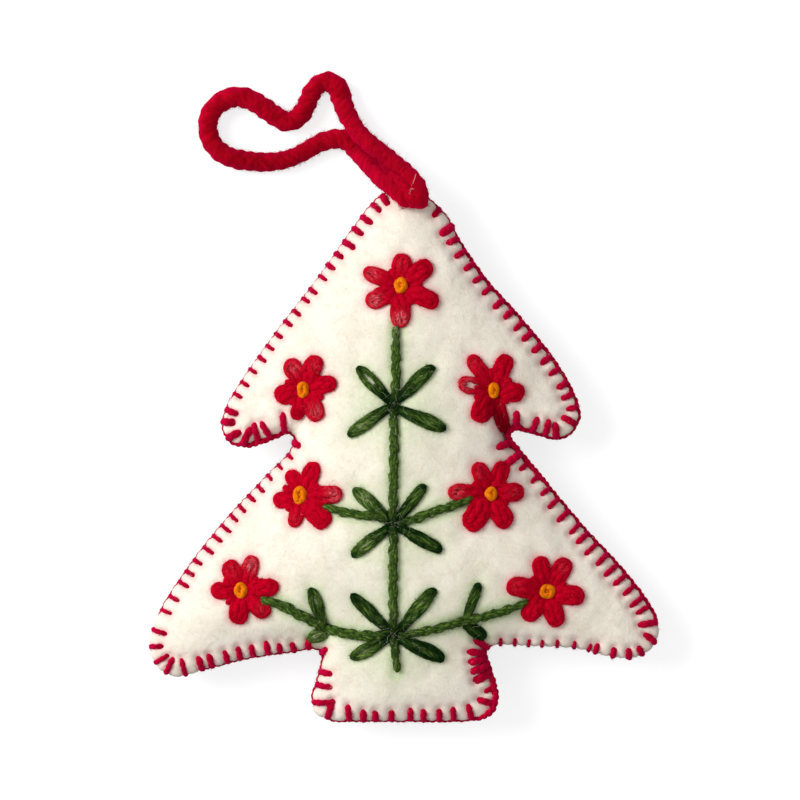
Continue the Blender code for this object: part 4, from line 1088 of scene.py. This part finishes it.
def wool_material(name, light, dark, worn, variation, rim_sheen, sheen):
    """Return a material of spun wool in two shades of one colour."""
    found = bpy.data.materials.get(name)
    if found:
        return found
    material, tree, shader = new_material(name)
    tone = attribute(tree, "tone")
    values = [("Yarn Place", attribute(tree, "yarn_place", "Vector")), ("Tone", tone), ("Light", light),
              ("Dark", dark), ("Worn", worn), ("Dye Variation", variation)]
    wool = add_node(tree, "ShaderNodeGroup", values, node_tree=wool_group())
    # Painted sheen: the wool's colour turns towards its rim sheen colour where its surface is seen aslant,
    # standing in for light caught at the rims
    edge = add_node(tree, "ShaderNodeLayerWeight", [("Blend", 0.3)])
    share = calculate(tree, "MULTIPLY", edge.outputs["Facing"], 0.85)
    # Below zero the tone multiplies the wool towards DEEP_SHADE: painted shade where the leaves cross, the
    # painted shadow of the fold by the right notch on one petal, and other darker places on leaves and cord
    deep = calculate(tree, "MULTIPLY", tone, -1.0, clamp=True)
    colour = mix_colours(tree, share, wool.outputs["Colour"], rim_sheen)
    colour = mix_colours(tree, deep, colour, DEEP_SHADE, mode="MULTIPLY")
    paint(tree, shader, colour, wool, 0.5, 0.12 * MM)
    fill(tree, shader, [("Sheen Weight", sheen), ("Sheen Roughness", 0.5), ("Sheen Tint", rim_sheen),
                        ("Specular IOR Level", 0.02)])
    return material


def felt_material(name):
    """Return the cream felt, tinged where coloured wool is rubbed into it."""
    found = bpy.data.materials.get(name)
    if found:
        return found
    colours = bpy.context.scene.tree_colours
    material, tree, shader = new_material(name)
    place = object_place(tree)
    values = [("Place", place), ("Felt", colours.felt), ("Shade", colours.felt_shade)]
    felt = add_node(tree, "ShaderNodeGroup", values, node_tree=felt_group())
    colour = felt.outputs["Colour"]
    speckle = stretch(tree, noise(tree, place, 1400.0, 3.0, 0.7, 1.0), 0.34, 0.66, 0.35, 1.0)
    for stain, dye, most in (("red_stain", RED_BLEED, 0.80), ("green_stain", GREEN_BLEED, 1.0)):
        share = calculate(tree, "MULTIPLY", attribute(tree, stain), speckle)
        colour = mix_colours(tree, calculate(tree, "MULTIPLY", share, most), colour, dye)
    specks = stretch(tree, noise(tree, place, 700.0, 4.0, 0.75, 0.6), 0.66, 0.72, 0.0, 0.35)
    colour = mix_colours(tree, specks, colour, BROWN_SPECK)
    paint(tree, shader, colour, felt, 0.55, 0.22 * MM)
    fill(tree, shader, [("Sheen Weight", 0.15), ("Sheen Roughness", 0.7), ("Specular IOR Level", 0.1)])
    return material


def red_wool():
    """Return the red wool of the petals."""
    colours = bpy.context.scene.tree_colours
    return wool_material("red_wool", colours.petal, colours.petal_shade, PETAL_WORN, 0.35, PETAL_HALO, 0.08)


def edge_wool():
    """Return the pinkish red wool of the blanket stitch."""
    return wool_material("edge_wool", EDGE_LIGHT, EDGE_DARK, EDGE_WORN, 0.35, EDGE_HALO, 0.3)


def green_wool(name, share):
    """Return heathered green wool, its light strands dimmed to a share."""
    colours = bpy.context.scene.tree_colours
    light, rim_sheen = ([part * share for part in colour] for colour in (colours.leaf, GREEN_HALO))
    return wool_material(name, light, colours.leaf_shade, GREEN_WORN, 0.12, rim_sheen, 0.08)


# Pieces

class TREE_OT_felt_panels(bpy.types.Operator):
    """Build the front and back felt panels"""

    bl_idname = "tree.felt_panels"
    bl_label = "Felt panels"

    def execute(self, context):
        sizes = context.scene.tree_sizes
        pillow = BlownPillow(tree_edge(), sizes.front_dome, sizes.back_dome)
        for name, side, node in (("front_felt", 1, "front_panel"), ("back_felt", -1, "back_panel")):
            piece = felt_solid(name, side, pillow, felt_material("pressed_cream_felt"))
            place_piece(piece, "cream_felt", node)
        return {"FINISHED"}


class TREE_OT_filling(bpy.types.Operator):
    """Build the fibre filling between the panels"""

    bl_idname = "tree.filling"
    bl_label = "Filling"

    def execute(self, context):
        fibre = context.scene.tree_colours.fibre
        shade = [part * 0.8 for part in fibre]
        material = wool_material("fibre_filling", fibre, shade, fibre, 0.5, fibre, 0.1)
        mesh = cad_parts["stuffing"].data.copy()
        mesh.name = "fibre_filling"
        mesh.materials.clear()
        mesh.materials.append(material)
        layer = mesh.attributes.new("yarn_place", "FLOAT_VECTOR", "POINT")
        points = np.array([vertex.co for vertex in mesh.vertices]) / MM
        layer.data.foreach_set("vector", points.astype(np.float32).ravel())
        piece = bpy.data.objects.new("fibre_filling", mesh)
        context.scene.collection.objects.link(piece)
        place_piece(piece, "white_fibre", "stuffing")
        return {"FINISHED"}


class TREE_OT_felt_nap(bpy.types.Operator):
    """Raise loose fibres on the felt"""

    bl_idname = "tree.felt_nap"
    bl_label = "Felt nap"

    def execute(self, context):
        work = Wool()
        rng = np.random.default_rng(77)
        for name, side, odds in (("front_felt", 1, 0.16), ("back_felt", -1, 0.05)):
            self.add_nap(work, rng, bpy.data.objects[name].data, side, odds)
        self.add_strays(work, rng)
        strand = np.array([[0.0026, 0.0615, 0.0152]])
        work.add_fibres(strand, np.array([[-0.25, -1.0, 0.15]]), *LOOSE_STRAND, 5, curl=0.2)
        place_piece(work.build("felt_nap", felt_material("pressed_cream_felt")), "cream_felt")
        return {"FINISHED"}

    def add_nap(self, work, rng, mesh, side, odds):
        """Raise short fibres at random points on the outer face of a panel, clear of the floor."""
        floor_gap = 2.2 * MM
        points = np.empty(len(mesh.vertices) * 3, dtype=np.float32)
        normals = np.empty_like(points)
        mesh.vertices.foreach_get("co", points)
        mesh.vertices.foreach_get("normal", normals)
        points, normals = points.reshape(-1, 3), normals.reshape(-1, 3)
        outer = side * (points[:, 2] - SEAM_LEVEL) > 0.4 * MM
        outer &= (side * normals[:, 2] > -0.2) & (points[:, 2] > floor_gap)
        picks = np.nonzero(outer & (rng.uniform(size=len(points)) < odds))[0]
        ways = rng.normal(size=(len(picks), 3)) + normals[picks] * 0.55
        roots = points[picks].astype(float) - normals[picks] * 0.05 * MM
        work.add_fibres(roots, ways, *NAP_FIBRE, 78, curl=1.2)

    def add_strays(self, work, rng):
        """Lay pale stray fibres over the green yarn, most of them where it crosses."""
        skin = Skin("front_felt", 1)
        crosses = np.array([on_tree(share) for share in CROSSES])
        greens = 1 + len(BRANCH_SHARES) + len(LEAF_SHARES)
        for index, (line, width) in enumerate(embroidery_lines()[:greens]):
            flat = spaced(line, 0.8 * MM)
            odds = np.where(distance_to_points(flat, crosses) < 6 * MM, 0.8, 0.15)
            flat = flat[rng.uniform(size=len(flat)) < odds]
            if len(flat) == 0:
                continue
            roots, ups = skin.lay(flat + rng.normal(0, width * 0.35, flat.shape), 1.5 * MM)
            ways = rng.normal(size=roots.shape) * (1, 1, 0.3) - ups * 0.15
            work.add_fibres(roots, ways, *STRAY_FIBRE, 300 + index, curl=1.0)


class TREE_OT_blanket_stitch(bpy.types.Operator):
    """Sew the blanket stitch round the edge"""

    bl_idname = "tree.blanket_stitch"
    bl_label = "Blanket stitch"

    def execute(self, context):
        width = context.scene.tree_sizes.stitch_yarn
        edge = tree_edge()
        work = Wool()
        rng = np.random.default_rng(31)
        spans = leg_spans(edge)
        legs = edge_legs()
        for side, skin in ((1, Skin("front_felt", 1)), (-1, Skin("back_felt", -1))):
            for index, (span, (_, _, _, thickness)) in enumerate(zip(spans, legs)):
                self.add_leg(work, skin, span, side, width * thickness * rng.uniform(0.9, 1.1), index)
            if side > 0:
                self.add_cross_bar(work, skin, spans, width)
        self.add_purl(work, edge)
        place_piece(work.build("blanket_stitch", edge_wool()), "red_yarn", "edge_stitch")
        return {"FINISHED"}

    def add_leg(self, work, skin, span, side, width, index):
        """Lay one leg from the edge over the felt to its hole."""
        start, end, way = span
        flat = np.array([start + (end - start) * share for share in np.linspace(0.20, 1.0, 9)])
        lifts = width * np.array([0.16, 0.22, 0.26, 0.28, 0.28, 0.26, 0.20, 0.05, -0.45])
        points, ups = skin.lay(flat, lifts)
        inset = width * 0.42
        rim = [[*(start + way * inset), SEAM_LEVEL - side * 0.2 * MM],
               [*(start + way * inset * 0.9), SEAM_LEVEL + side * 0.75 * MM]]
        ups = unit(np.vstack([[*-way, 0.0], [*-way, side * 0.5], ups]))
        line = np.vstack([rim, points])
        along = lengths_along(line)
        smooth = smooth_line(line)
        smooth_along = lengths_along(smooth)
        ups = read_line(ups, along / along[-1], smooth_along / smooth_along[-1])
        thick = width * np.interp(np.linspace(0, 1, len(smooth)), [0, 0.2, 0.6, 1], [0.95, 1.0, 1.02, 1.0])
        work.add_yarn(smooth, ups, thick, LEG_PITCH, phase=index * 0.7, depth=0.45, squash=0.85)
        if side > 0:
            work.add_fuzz(smooth[12:], ups[12:], width, 9, FUZZ_LENGTH, 100 + index)

    def add_cross_bar(self, work, skin, spans, width):
        """Lay the long stitch that joins the ends of two legs near the trunk's left corner."""
        places = [place for place, _, _, _ in edge_legs()]
        first, second = (spans[places.index(end)][1] for end in CROSS_BAR_ENDS)
        points, ups = skin.lay(np.linspace(first, second, 10), width * 0.3)
        line = smooth_line(points)
        ups = np.repeat(ups, SPAN_STEPS, axis=0)[:len(line)]
        work.add_yarn(line, ups, width * 1.1, BAR_PITCH, depth=0.7, squash=0.85)

    def add_purl(self, work, edge):
        """Lay the yarn that runs along the edge from leg to leg."""
        places = np.linspace(0, EDGE_LENGTH_MM, len(edge), endpoint=False)
        table = np.array(PURL_PARTS)
        width, inset = (np.interp(places, table[:, 0], table[:, k]) * MM for k in (1, 2))
        legs = np.array([place for place, _, _, _ in edge_legs()])
        half = EDGE_LENGTH_MM / 2
        near = np.abs((places[:, None] - legs + half) % EDGE_LENGTH_MM - half).min(axis=1)
        inset += (0.16 - 0.18 * np.clip(near / 1.6, 0, 1)) * MM
        way = inward(edge, 8)
        level = SEAM_LEVEL + width * 0.6 + np.clip(width - 0.9 * MM, 0, 1) * 2.2
        level += smooth_noise(edge, 5 * MM, 3) * 0.25 * MM
        line = np.column_stack([edge + way * inset[:, None], level])
        ups = unit(np.column_stack([-way, np.full(len(edge), 0.35)]))
        line, ups, width = (np.concatenate([rows[::2], rows[:1]]) for rows in (line, ups, width))
        work.add_yarn(line, ups, width, PURL_PITCH, sides=6, step=0.28 * MM, depth=0.8)
        work.add_fuzz(line, ups, 0.8 * MM, 5, FUZZ_LENGTH, 900)


def laid_line(skin, flat, lift):
    """Return a smooth line that lies over the felt along a flat line, and the upward way at each point."""
    points, ups = skin.lay(flat, lift)
    line = smooth_line(points)
    return line, read_line(ups, np.linspace(0, 1, len(ups)), np.linspace(0, 1, len(line)))


def add_soft_yarn(work, skin, flat, lift, width, seed, pitch=SOFT_PITCH, fuzz=12.0, depth=0.5, squash=0.8):
    """Lay a softly twisted yarn on the felt along a flat line."""
    line, ups = laid_line(skin, flat, lift)
    work.add_yarn(line, ups, width, pitch, sides=8, phase=seed * 1.3, depth=depth, squash=squash)
    work.add_fuzz(line, ups, width, fuzz, FUZZ_LENGTH, seed, thin=SOFT_FUZZ, lean=2.2, squash=squash)


def add_loop_stitch(work, skin, root, tip, width, yarn, filled, seed, shape, squash, full=0.45,
                    fuzz=12.0, pitch=SOFT_PITCH, depth=0.4, rim=0.0):
    """Add a detached chain stitch: a loop of yarn from its root round its tip, tied down there."""
    rng = np.random.default_rng(seed)
    run = tip - root
    reach = np.linalg.norm(run)
    along = run / reach
    across = np.array([-along[1], along[0]])
    yarn *= 0.88 + 0.12 * min(1.0, filled * 2)
    half = max(width / 2 - yarn * 0.46, yarn * 0.3)
    wobble = rng.uniform(-0.13, 0.13, 3)
    tip_share = 1 - yarn * 0.40 / reach
    sides = [(share * tip_share, spread) for share, spread in shape]
    plan = [root + run * share + across * half * (spread + wobble[0] * share) for share, spread in sides]
    plan += [root + run * tip_share + across * half * wobble[1] * 3]
    plan += [root + run * share - across * half * (spread + wobble[2] * share)
             for share, spread in sides[::-1]]
    flat = spaced(smooth_line(plan), 0.7 * MM)
    lift = np.full(len(flat), yarn * 0.36 * squash)
    lift[0] = lift[-1] = yarn * 0.12
    if filled > 0:
        shares = np.linspace(0.05, 0.50 + 0.44 * filled, 8)
        for number, aside in enumerate((-0.42, 0.42) if half > 1.3 * MM else (0.0,)):
            inner = np.array([root + run * share * tip_share
                              + across * half * (0.2 * math.sin(share * 5 + seed) + aside * min(1, share * 3))
                              for share in shares])
            add_soft_yarn(work, skin, inner, yarn * (0.20 + 0.24 * filled) * squash,
                          yarn * (0.7 + full * filled), seed + 3 + number, pitch, fuzz * 1.4, depth, squash)
    work.tint((root + tip) / 2, reach * 0.8, rim, work.count)
    add_soft_yarn(work, skin, flat, lift, yarn, seed, pitch, fuzz, depth, squash)
    tie = np.array([tip - along * yarn * back for back in (1.3, 0.65, 0.1)])
    line, ups = laid_line(skin, tie, yarn * squash * np.array([0.3, 0.74, 0.1]))
    work.add_yarn(line, ups, yarn * 0.5, TIE_PITCH, sides=6, depth=0.6, squash=squash)


# Half of a loop's plan: share of its length, and share of its half-width there; and how flat its yarn lies
PETAL_SHAPE = [(0.0, 0.50), (0.18, 0.85), (0.42, 1.0), (0.66, 1.03), (0.85, 0.93), (0.97, 0.60)]
LEAF_SHAPE = [(0.0, 0.25), (0.22, 0.55), (0.44, 0.88), (0.62, 1.0), (0.80, 0.86), (0.94, 0.48)]
PETAL_SQUASH = 0.62
LEAF_SQUASH = 0.78


class TREE_OT_flowers(bpy.types.Operator):
    """Sew the red petals of each flower"""

    bl_idname = "tree.flowers"
    bl_label = "Flowers"

    def execute(self, context):
        yarn = context.scene.tree_sizes.petal_yarn
        skin = Skin("front_felt", 1)
        for index, (name, (place, petals)) in enumerate(FLOWERS.items()):
            work = Wool()
            self.add_middle(work, skin, on_tree(place), petals, yarn, 900 + index * 10)
            for number, petal in enumerate(petals):
                self.add_petal(work, skin, on_tree(place), petal, yarn, 1000 + index * 40 + number * 5)
            place_piece(work.build(name.replace("flower", "petals"), red_wool()), "red_yarn", name)
        return {"FINISHED"}

    def add_middle(self, work, skin, middle, petals, yarn, seed):
        """Fill the gaps between the petals near the flower's middle."""
        angles = sorted(petal[0] % 360 for petal in petals)
        for number, (angle, after) in enumerate(zip(angles, [*angles[1:], angles[0] + 360])):
            way = direction((angle + after) / 2)
            flat = np.array([middle + way * reach * MM for reach in (0.6, 2.0, 3.3, 4.6)])
            add_soft_yarn(work, skin, flat, yarn * 0.22, yarn * 1.05, seed + number, squash=PETAL_SQUASH)

    def add_petal(self, work, skin, middle, petal, yarn, seed):
        """Sew one petal, worn pale towards its tip, or darkened there by a painted shadow."""
        degrees, reach, width, filled, pale = petal
        way = direction(degrees)
        root, tip = middle + way * 0.7 * MM, middle + way * reach * MM
        add_loop_stitch(work, skin, root, tip, width * MM, yarn, filled, seed, PETAL_SHAPE, PETAL_SQUASH,
                        full=0.75, fuzz=22.0)
        # A tone below zero is the painted shadow of the fold by the right notch, spread wider than the pale
        # wear at a tip
        spread = 1.3 if pale > 0 else 3.2
        work.tint(middle + way * (reach - 2.0) * MM, spread * MM, pale * 0.75)


class TREE_OT_knots(bpy.types.Operator):
    """Tie the orange knot in the middle of each flower"""

    bl_idname = "tree.knots"
    bl_label = "Knots"

    def execute(self, context):
        colours = context.scene.tree_colours
        yarn = context.scene.tree_sizes.knot_yarn
        material = wool_material("orange_wool", colours.knot, colours.knot_shade, KNOT_WORN, 0.35,
                                 KNOT_HALO, 0.15)
        skin = Skin("front_felt", 1)
        for index, (name, (place, _)) in enumerate(FLOWERS.items()):
            work = Wool()
            self.add_knot(work, skin, on_tree(place), KNOT_SIZES[name], yarn, index)
            place_piece(work.build(name.replace("flower", "knot_yarn"), material), "orange_yarn",
                        name.replace("flower", "knot"))
        return {"FINISHED"}

    def add_knot(self, work, skin, middle, size, yarn, index):
        """Wind yarn round a core that stands on the flower's middle."""
        turn_points = 44
        seats, ups = skin.lay([middle], 1.55 * MM)
        seat, upward = seats[0], ups[0]
        aside = unit(np.cross((0.0, 1.0, 0.0), upward))
        ahead = np.cross(upward, aside)
        turns = np.linspace(0, 2.3, turn_points) * 2 * math.pi + index
        climb = np.linspace(-0.35, 0.55, turn_points) * MM
        shrink = np.linspace(1.0, 0.75, turn_points)
        breadth, length = ((side * MM - yarn * 0.85) / 2 for side in size)
        line = (seat + np.outer(np.cos(turns) * shrink * breadth, aside)
                + np.outer(np.sin(turns) * shrink * length, ahead) + np.outer(climb, upward))
        work.add_yarn(line, upward, yarn, KNOT_PITCH, sides=8, step=0.2 * MM, depth=0.6)
        core = smooth_line([seat + upward * h * MM + ahead * h * 0.1 * MM for h in (-0.9, -0.3, 0.2, 0.45)])
        work.add_yarn(core, aside, yarn * 1.15, CORE_PITCH, depth=0.6)
        work.add_fuzz(line, upward, yarn, 6, 0.5 * MM, 700 + index)


class TREE_OT_stem(bpy.types.Operator):
    """Sew the green stem and its branches"""

    bl_idname = "tree.stem"
    bl_label = "Stem and branches"

    def execute(self, context):
        width = context.scene.tree_sizes.stem_yarn
        skin = Skin("front_felt", 1)
        lines = {"stem": STEM_SHARES, **BRANCH_SHARES}
        for index, (name, shares) in enumerate(lines.items()):
            work = Wool()
            thick = width * (1.15 if name == "lower_left_branch" else 1.0)
            self.add_stem_stitch(work, skin, smooth_line(on_tree(shares)), thick, 3000 + index * 60)
            # Painted shade where the stem runs through each cross of leaves
            work.tint_crosses(3.2 * MM, -0.85)
            if name == "stem":
                work.tint(on_tree(STEM_SHARES[0]), 3.0 * MM, 0.45)
            place_piece(work.build(name + "_yarn", green_wool("stem_wool", 0.72)), "green_yarn", name)
        return {"FINISHED"}

    def add_stem_stitch(self, work, skin, line, width, seed):
        """Lay slanted stitches that overlap by half along a flat line."""
        along = lengths_along(line)
        count = max(2, round(along[-1] / (4.2 * MM)))
        step = along[-1] / (count + 1)
        run = unit(np.gradient(line, axis=0))
        across = np.column_stack([-run[:, 1], run[:, 0]])
        points = 9
        shift = np.linspace(-0.19, 0.19, points) * width
        lift = width * (0.16 + 0.14 * np.sin(np.linspace(0.15, math.pi - 0.15, points)))
        for index in range(count):
            places = np.linspace(index * step, (index + 2) * step, points)
            flat = read_line(line, along, places) + read_line(across, along, places) * shift[:, None]
            add_soft_yarn(work, skin, flat, lift, width * 0.74, seed + index, pitch=STEM_PITCH, depth=0.6)


class TREE_OT_leaves(bpy.types.Operator):
    """Sew the green leaves"""

    bl_idname = "tree.leaves"
    bl_label = "Leaves"

    def execute(self, context):
        yarn = context.scene.tree_sizes.leaf_yarn
        skin = Skin("front_felt", 1)
        for index, (name, (root_share, tip_share, width, filled, dye)) in enumerate(LEAF_SHARES.items()):
            root, tip = on_tree(root_share), on_tree(tip_share)
            work = Wool()
            add_loop_stitch(work, skin, root, tip, width * MM, yarn, filled, 5000 + index * 7, LEAF_SHAPE,
                            LEAF_SQUASH, fuzz=20.0, pitch=LEAF_PITCH, rim=-0.48)
            # Painted shade round each cross of leaves; then the outer leaf made darker by the table's amount,
            # its middle paler on lighter leaves, and its tip darker
            work.tint_crosses(4.0 * MM, -0.95)
            work.tint(root * 0.3 + tip * 0.7, 4.5 * MM, -dye)
            work.tint(root * 0.32 + tip * 0.68, 1.7 * MM, 0.75 * (1 - dye))
            work.tint(tip, 1.3 * MM, -0.65)
            place_piece(work.build(name + "_yarn", green_wool("leaf_wool", 1.0)), "green_yarn", name)
        return {"FINISHED"}


class TREE_OT_hanging_loop(bpy.types.Operator):
    """Lay the hanging loop of dark red cord"""

    bl_idname = "tree.hanging_loop"
    bl_label = "Hanging loop"

    def execute(self, context):
        colours = context.scene.tree_colours
        width = context.scene.tree_sizes.cord_width
        material = wool_material("cord_wool", colours.cord, colours.cord_shade, CORD_WORN, 0.4,
                                 CORD_HALO, 0.6)
        line = spaced(smooth_line(LOOP_ROUTE), CORD_STEP)
        places = lengths_along(line)
        shares, widths = zip(*CORD_WIDTHS)
        thick = width * np.interp(places / places[-1], shares, widths)
        thick *= 1 + 0.025 * np.sin(places / (4.3 * MM))
        line[:, 2] = np.maximum(line[:, 2], thick * 0.54 + 0.1 * MM)
        work = Wool()
        self.add_cord(work, line, places, thick)
        self.add_filler(work, line, width)
        work.add_fuzz(line, UPRIGHT, width, 80, 1.1 * MM, 4000, thin=SOFT_FUZZ, lean=1.8)
        work.add_fuzz(line, UPRIGHT, width, 30, 1.6 * MM, 4100, thin=0.04 * MM, lean=0.6)
        for place, reach, amount in CORD_SHADES:
            work.tint(place, reach, amount)
        self.add_hook(work)
        piece = work.build("loop_cord", material)
        place_piece(piece, "red_cord", "hanging_loop")
        return {"FINISHED"}

    def add_cord(self, work, line, places, thick):
        """Lay the cord as one thick tube, waved by its twist and scalloped on its upper side."""
        sides = 22
        turn = places / CORD_PITCH * 2 * math.pi
        turns = np.linspace(0, 2 * math.pi, sides, endpoint=False)
        twist = turns - turn[:, None]
        waves = 1 + 0.016 * np.cos(4 * twist) + 0.018 * np.cos(2 * twist)
        scallops = np.sin(places / (2.5 * MM) * 2 * math.pi + 1.5 * np.sin(places / (7 * MM)))
        waves += 0.045 * scallops[:, None] * np.cos(turns)[None, :] ** 4
        swell = 0.25 + 0.75 * rounded_ends(places, thick * 0.5)
        work.add_tube(line, UPRIGHT, (thick * 0.5 * swell)[:, None] * waves, sides, turn, rough=0.018)

    def add_filler(self, work, line, width):
        """Fill the groove where the cord's two ends lie side by side."""
        count = round(JOINED_ENDS / CORD_STEP)
        middle = (line[1:count] + line[::-1][1:count]) / 2 + np.array(UPRIGHT) * width * 0.23
        swell = np.sin(np.linspace(1.2, math.pi - 0.1, len(middle)))
        work.add_tube(middle, UPRIGHT, width * 0.39 * swell, 14, np.zeros(len(middle)), rough=0.03)
        work.add_fuzz(middle, UPRIGHT, width * 0.8, 60, 1.4 * MM, 4200, thin=SOFT_FUZZ, lean=1.6)

    def add_hook(self, work):
        """Lay the small curl of thread on top of the cord's sewn end."""
        centre = np.array([0.0018, 0.0574])
        points = np.vstack(work.points)
        near = np.linalg.norm(points[:, :2] - centre, axis=1) < 0.5 * MM
        level = np.percentile(points[near, 2], 80) + 0.12 * MM
        curl = np.linspace(0.7, 5.2, 18)
        hook = np.column_stack([centre[0] + np.cos(curl) * 0.5 * MM, centre[1] + np.sin(curl) * 0.85 * MM,
                                np.full(len(curl), level)])
        work.tint(centre, 4 * MM, 0.9, work.count)
        work.add_yarn(hook, UPRIGHT, 0.60 * MM, HOOK_PITCH, sides=6, step=0.12 * MM)


def seen_directly(tree):
    """Return one for rays that come straight or by reflection or refraction from the camera."""
    paths = add_node(tree, "ShaderNodeLightPath").outputs
    seen = calculate(tree, "ADD", paths["Is Camera Ray"], paths["Is Glossy Ray"], clamp=True)
    return calculate(tree, "ADD", seen, paths["Is Transmission Ray"], clamp=True)


class TREE_OT_stage(bpy.types.Operator):
    """Lay the floor and set the camera and the light"""

    bl_idname = "tree.stage"
    bl_label = "Stage"

    def execute(self, context):
        scene = context.scene
        self.add_floor(scene)
        self.add_camera(scene)
        self.add_surround(scene)
        self.add_lamp(scene)
        scene.view_settings.view_transform = "Standard"
        return {"FINISHED"}

    def add_floor(self, scene):
        """Lay a large pale floor under the tree."""
        material, tree, shader = new_material("pale_floor")
        glow = calculate(tree, "MULTIPLY", seen_directly(tree), 0.76)
        fill(tree, shader, [("Base Color", scene.tree_colours.floor), ("Roughness", 1.0),
                            ("Specular IOR Level", 0.0), ("Emission Color", (1, 1, 1)),
                            ("Emission Strength", glow)])
        reach = 4
        points = [(-reach, -reach, 0), (reach, -reach, 0), (reach, reach, 0), (-reach, reach, 0)]
        floor = new_mesh_object("floor", points, [(0, 1, 2, 3)], {}, material)
        floor.location.z = -0.02 * MM

    def add_camera(self, scene):
        """Set the camera straight above the tree."""
        height = 1.2
        shown = 0.176
        data = bpy.data.cameras.new("camera")
        data.sensor_width = 36
        data.lens = data.sensor_width * (height - 8 * MM) / shown
        camera = bpy.data.objects.new("camera", data)
        camera.location = (-0.9 * MM, 12.1 * MM, height)
        scene.collection.objects.link(camera)
        scene.camera = camera

    def add_surround(self, scene):
        """Surround the tree with even white light, dimmer than it looks to the camera."""
        world = bpy.data.worlds.new("surround")
        world.use_nodes = True
        tree = world.node_tree
        strength = stretch(tree, seen_directly(tree), 0.0, 1.0, 0.50, 1.0)
        fill(tree, tree.nodes["Background"].inputs, [("Strength", strength), ("Color", (1, 1, 1))])
        scene.world = world

    def add_lamp(self, scene):
        """Light the tree softly from the upper left."""
        place = Vector((-0.98, 0.42, 0.85))
        data = bpy.data.lights.new("key", "AREA")
        data.size = 0.80
        data.energy = 18.5
        lamp = bpy.data.objects.new("key", data)
        lamp.location = place
        lamp.rotation_euler = (-place).to_track_quat("-Z", "Y").to_euler()
        scene.collection.objects.link(lamp)


class TREE_PT_workshop(bpy.types.Panel):
    """List the tree's pieces and their settings"""

    bl_idname = "TREE_PT_workshop"
    bl_label = "Felt tree"
    bl_space_type = "VIEW_3D"
    bl_region_type = "UI"
    bl_category = "Felt Tree"

    def draw(self, context):
        for group in (context.scene.tree_sizes, context.scene.tree_colours):
            for label in group.__annotations__:
                self.layout.prop(group, label)
        for operator in OPERATORS:
            self.layout.operator(operator.bl_idname)


OPERATORS = (TREE_OT_stage, TREE_OT_felt_panels, TREE_OT_felt_nap, TREE_OT_filling, TREE_OT_hanging_loop,
             TREE_OT_blanket_stitch, TREE_OT_stem, TREE_OT_leaves, TREE_OT_flowers, TREE_OT_knots)
CLASSES = (TREE_PG_sizes, TREE_PG_colours, *OPERATORS, TREE_PT_workshop)


def register():
    """Add the classes and settings to Blender."""
    for item in CLASSES:
        bpy.utils.register_class(item)
    bpy.types.Scene.tree_sizes = bpy.props.PointerProperty(type=TREE_PG_sizes)
    bpy.types.Scene.tree_colours = bpy.props.PointerProperty(type=TREE_PG_colours)


def unregister():
    """Take the classes and settings out of Blender."""
    del bpy.types.Scene.tree_colours
    del bpy.types.Scene.tree_sizes
    for item in reversed(CLASSES):
        bpy.utils.unregister_class(item)


def main():
    """Build the stage and every piece."""
    register()
    bpy.ops.tree.stage()
    bpy.ops.tree.felt_panels()
    bpy.ops.tree.felt_nap()
    bpy.ops.tree.filling()
    bpy.ops.tree.hanging_loop()
    bpy.ops.tree.blanket_stitch()
    bpy.ops.tree.stem()
    bpy.ops.tree.leaves()
    bpy.ops.tree.flowers()
    bpy.ops.tree.knots()


if __name__ == "__main__":
    main()
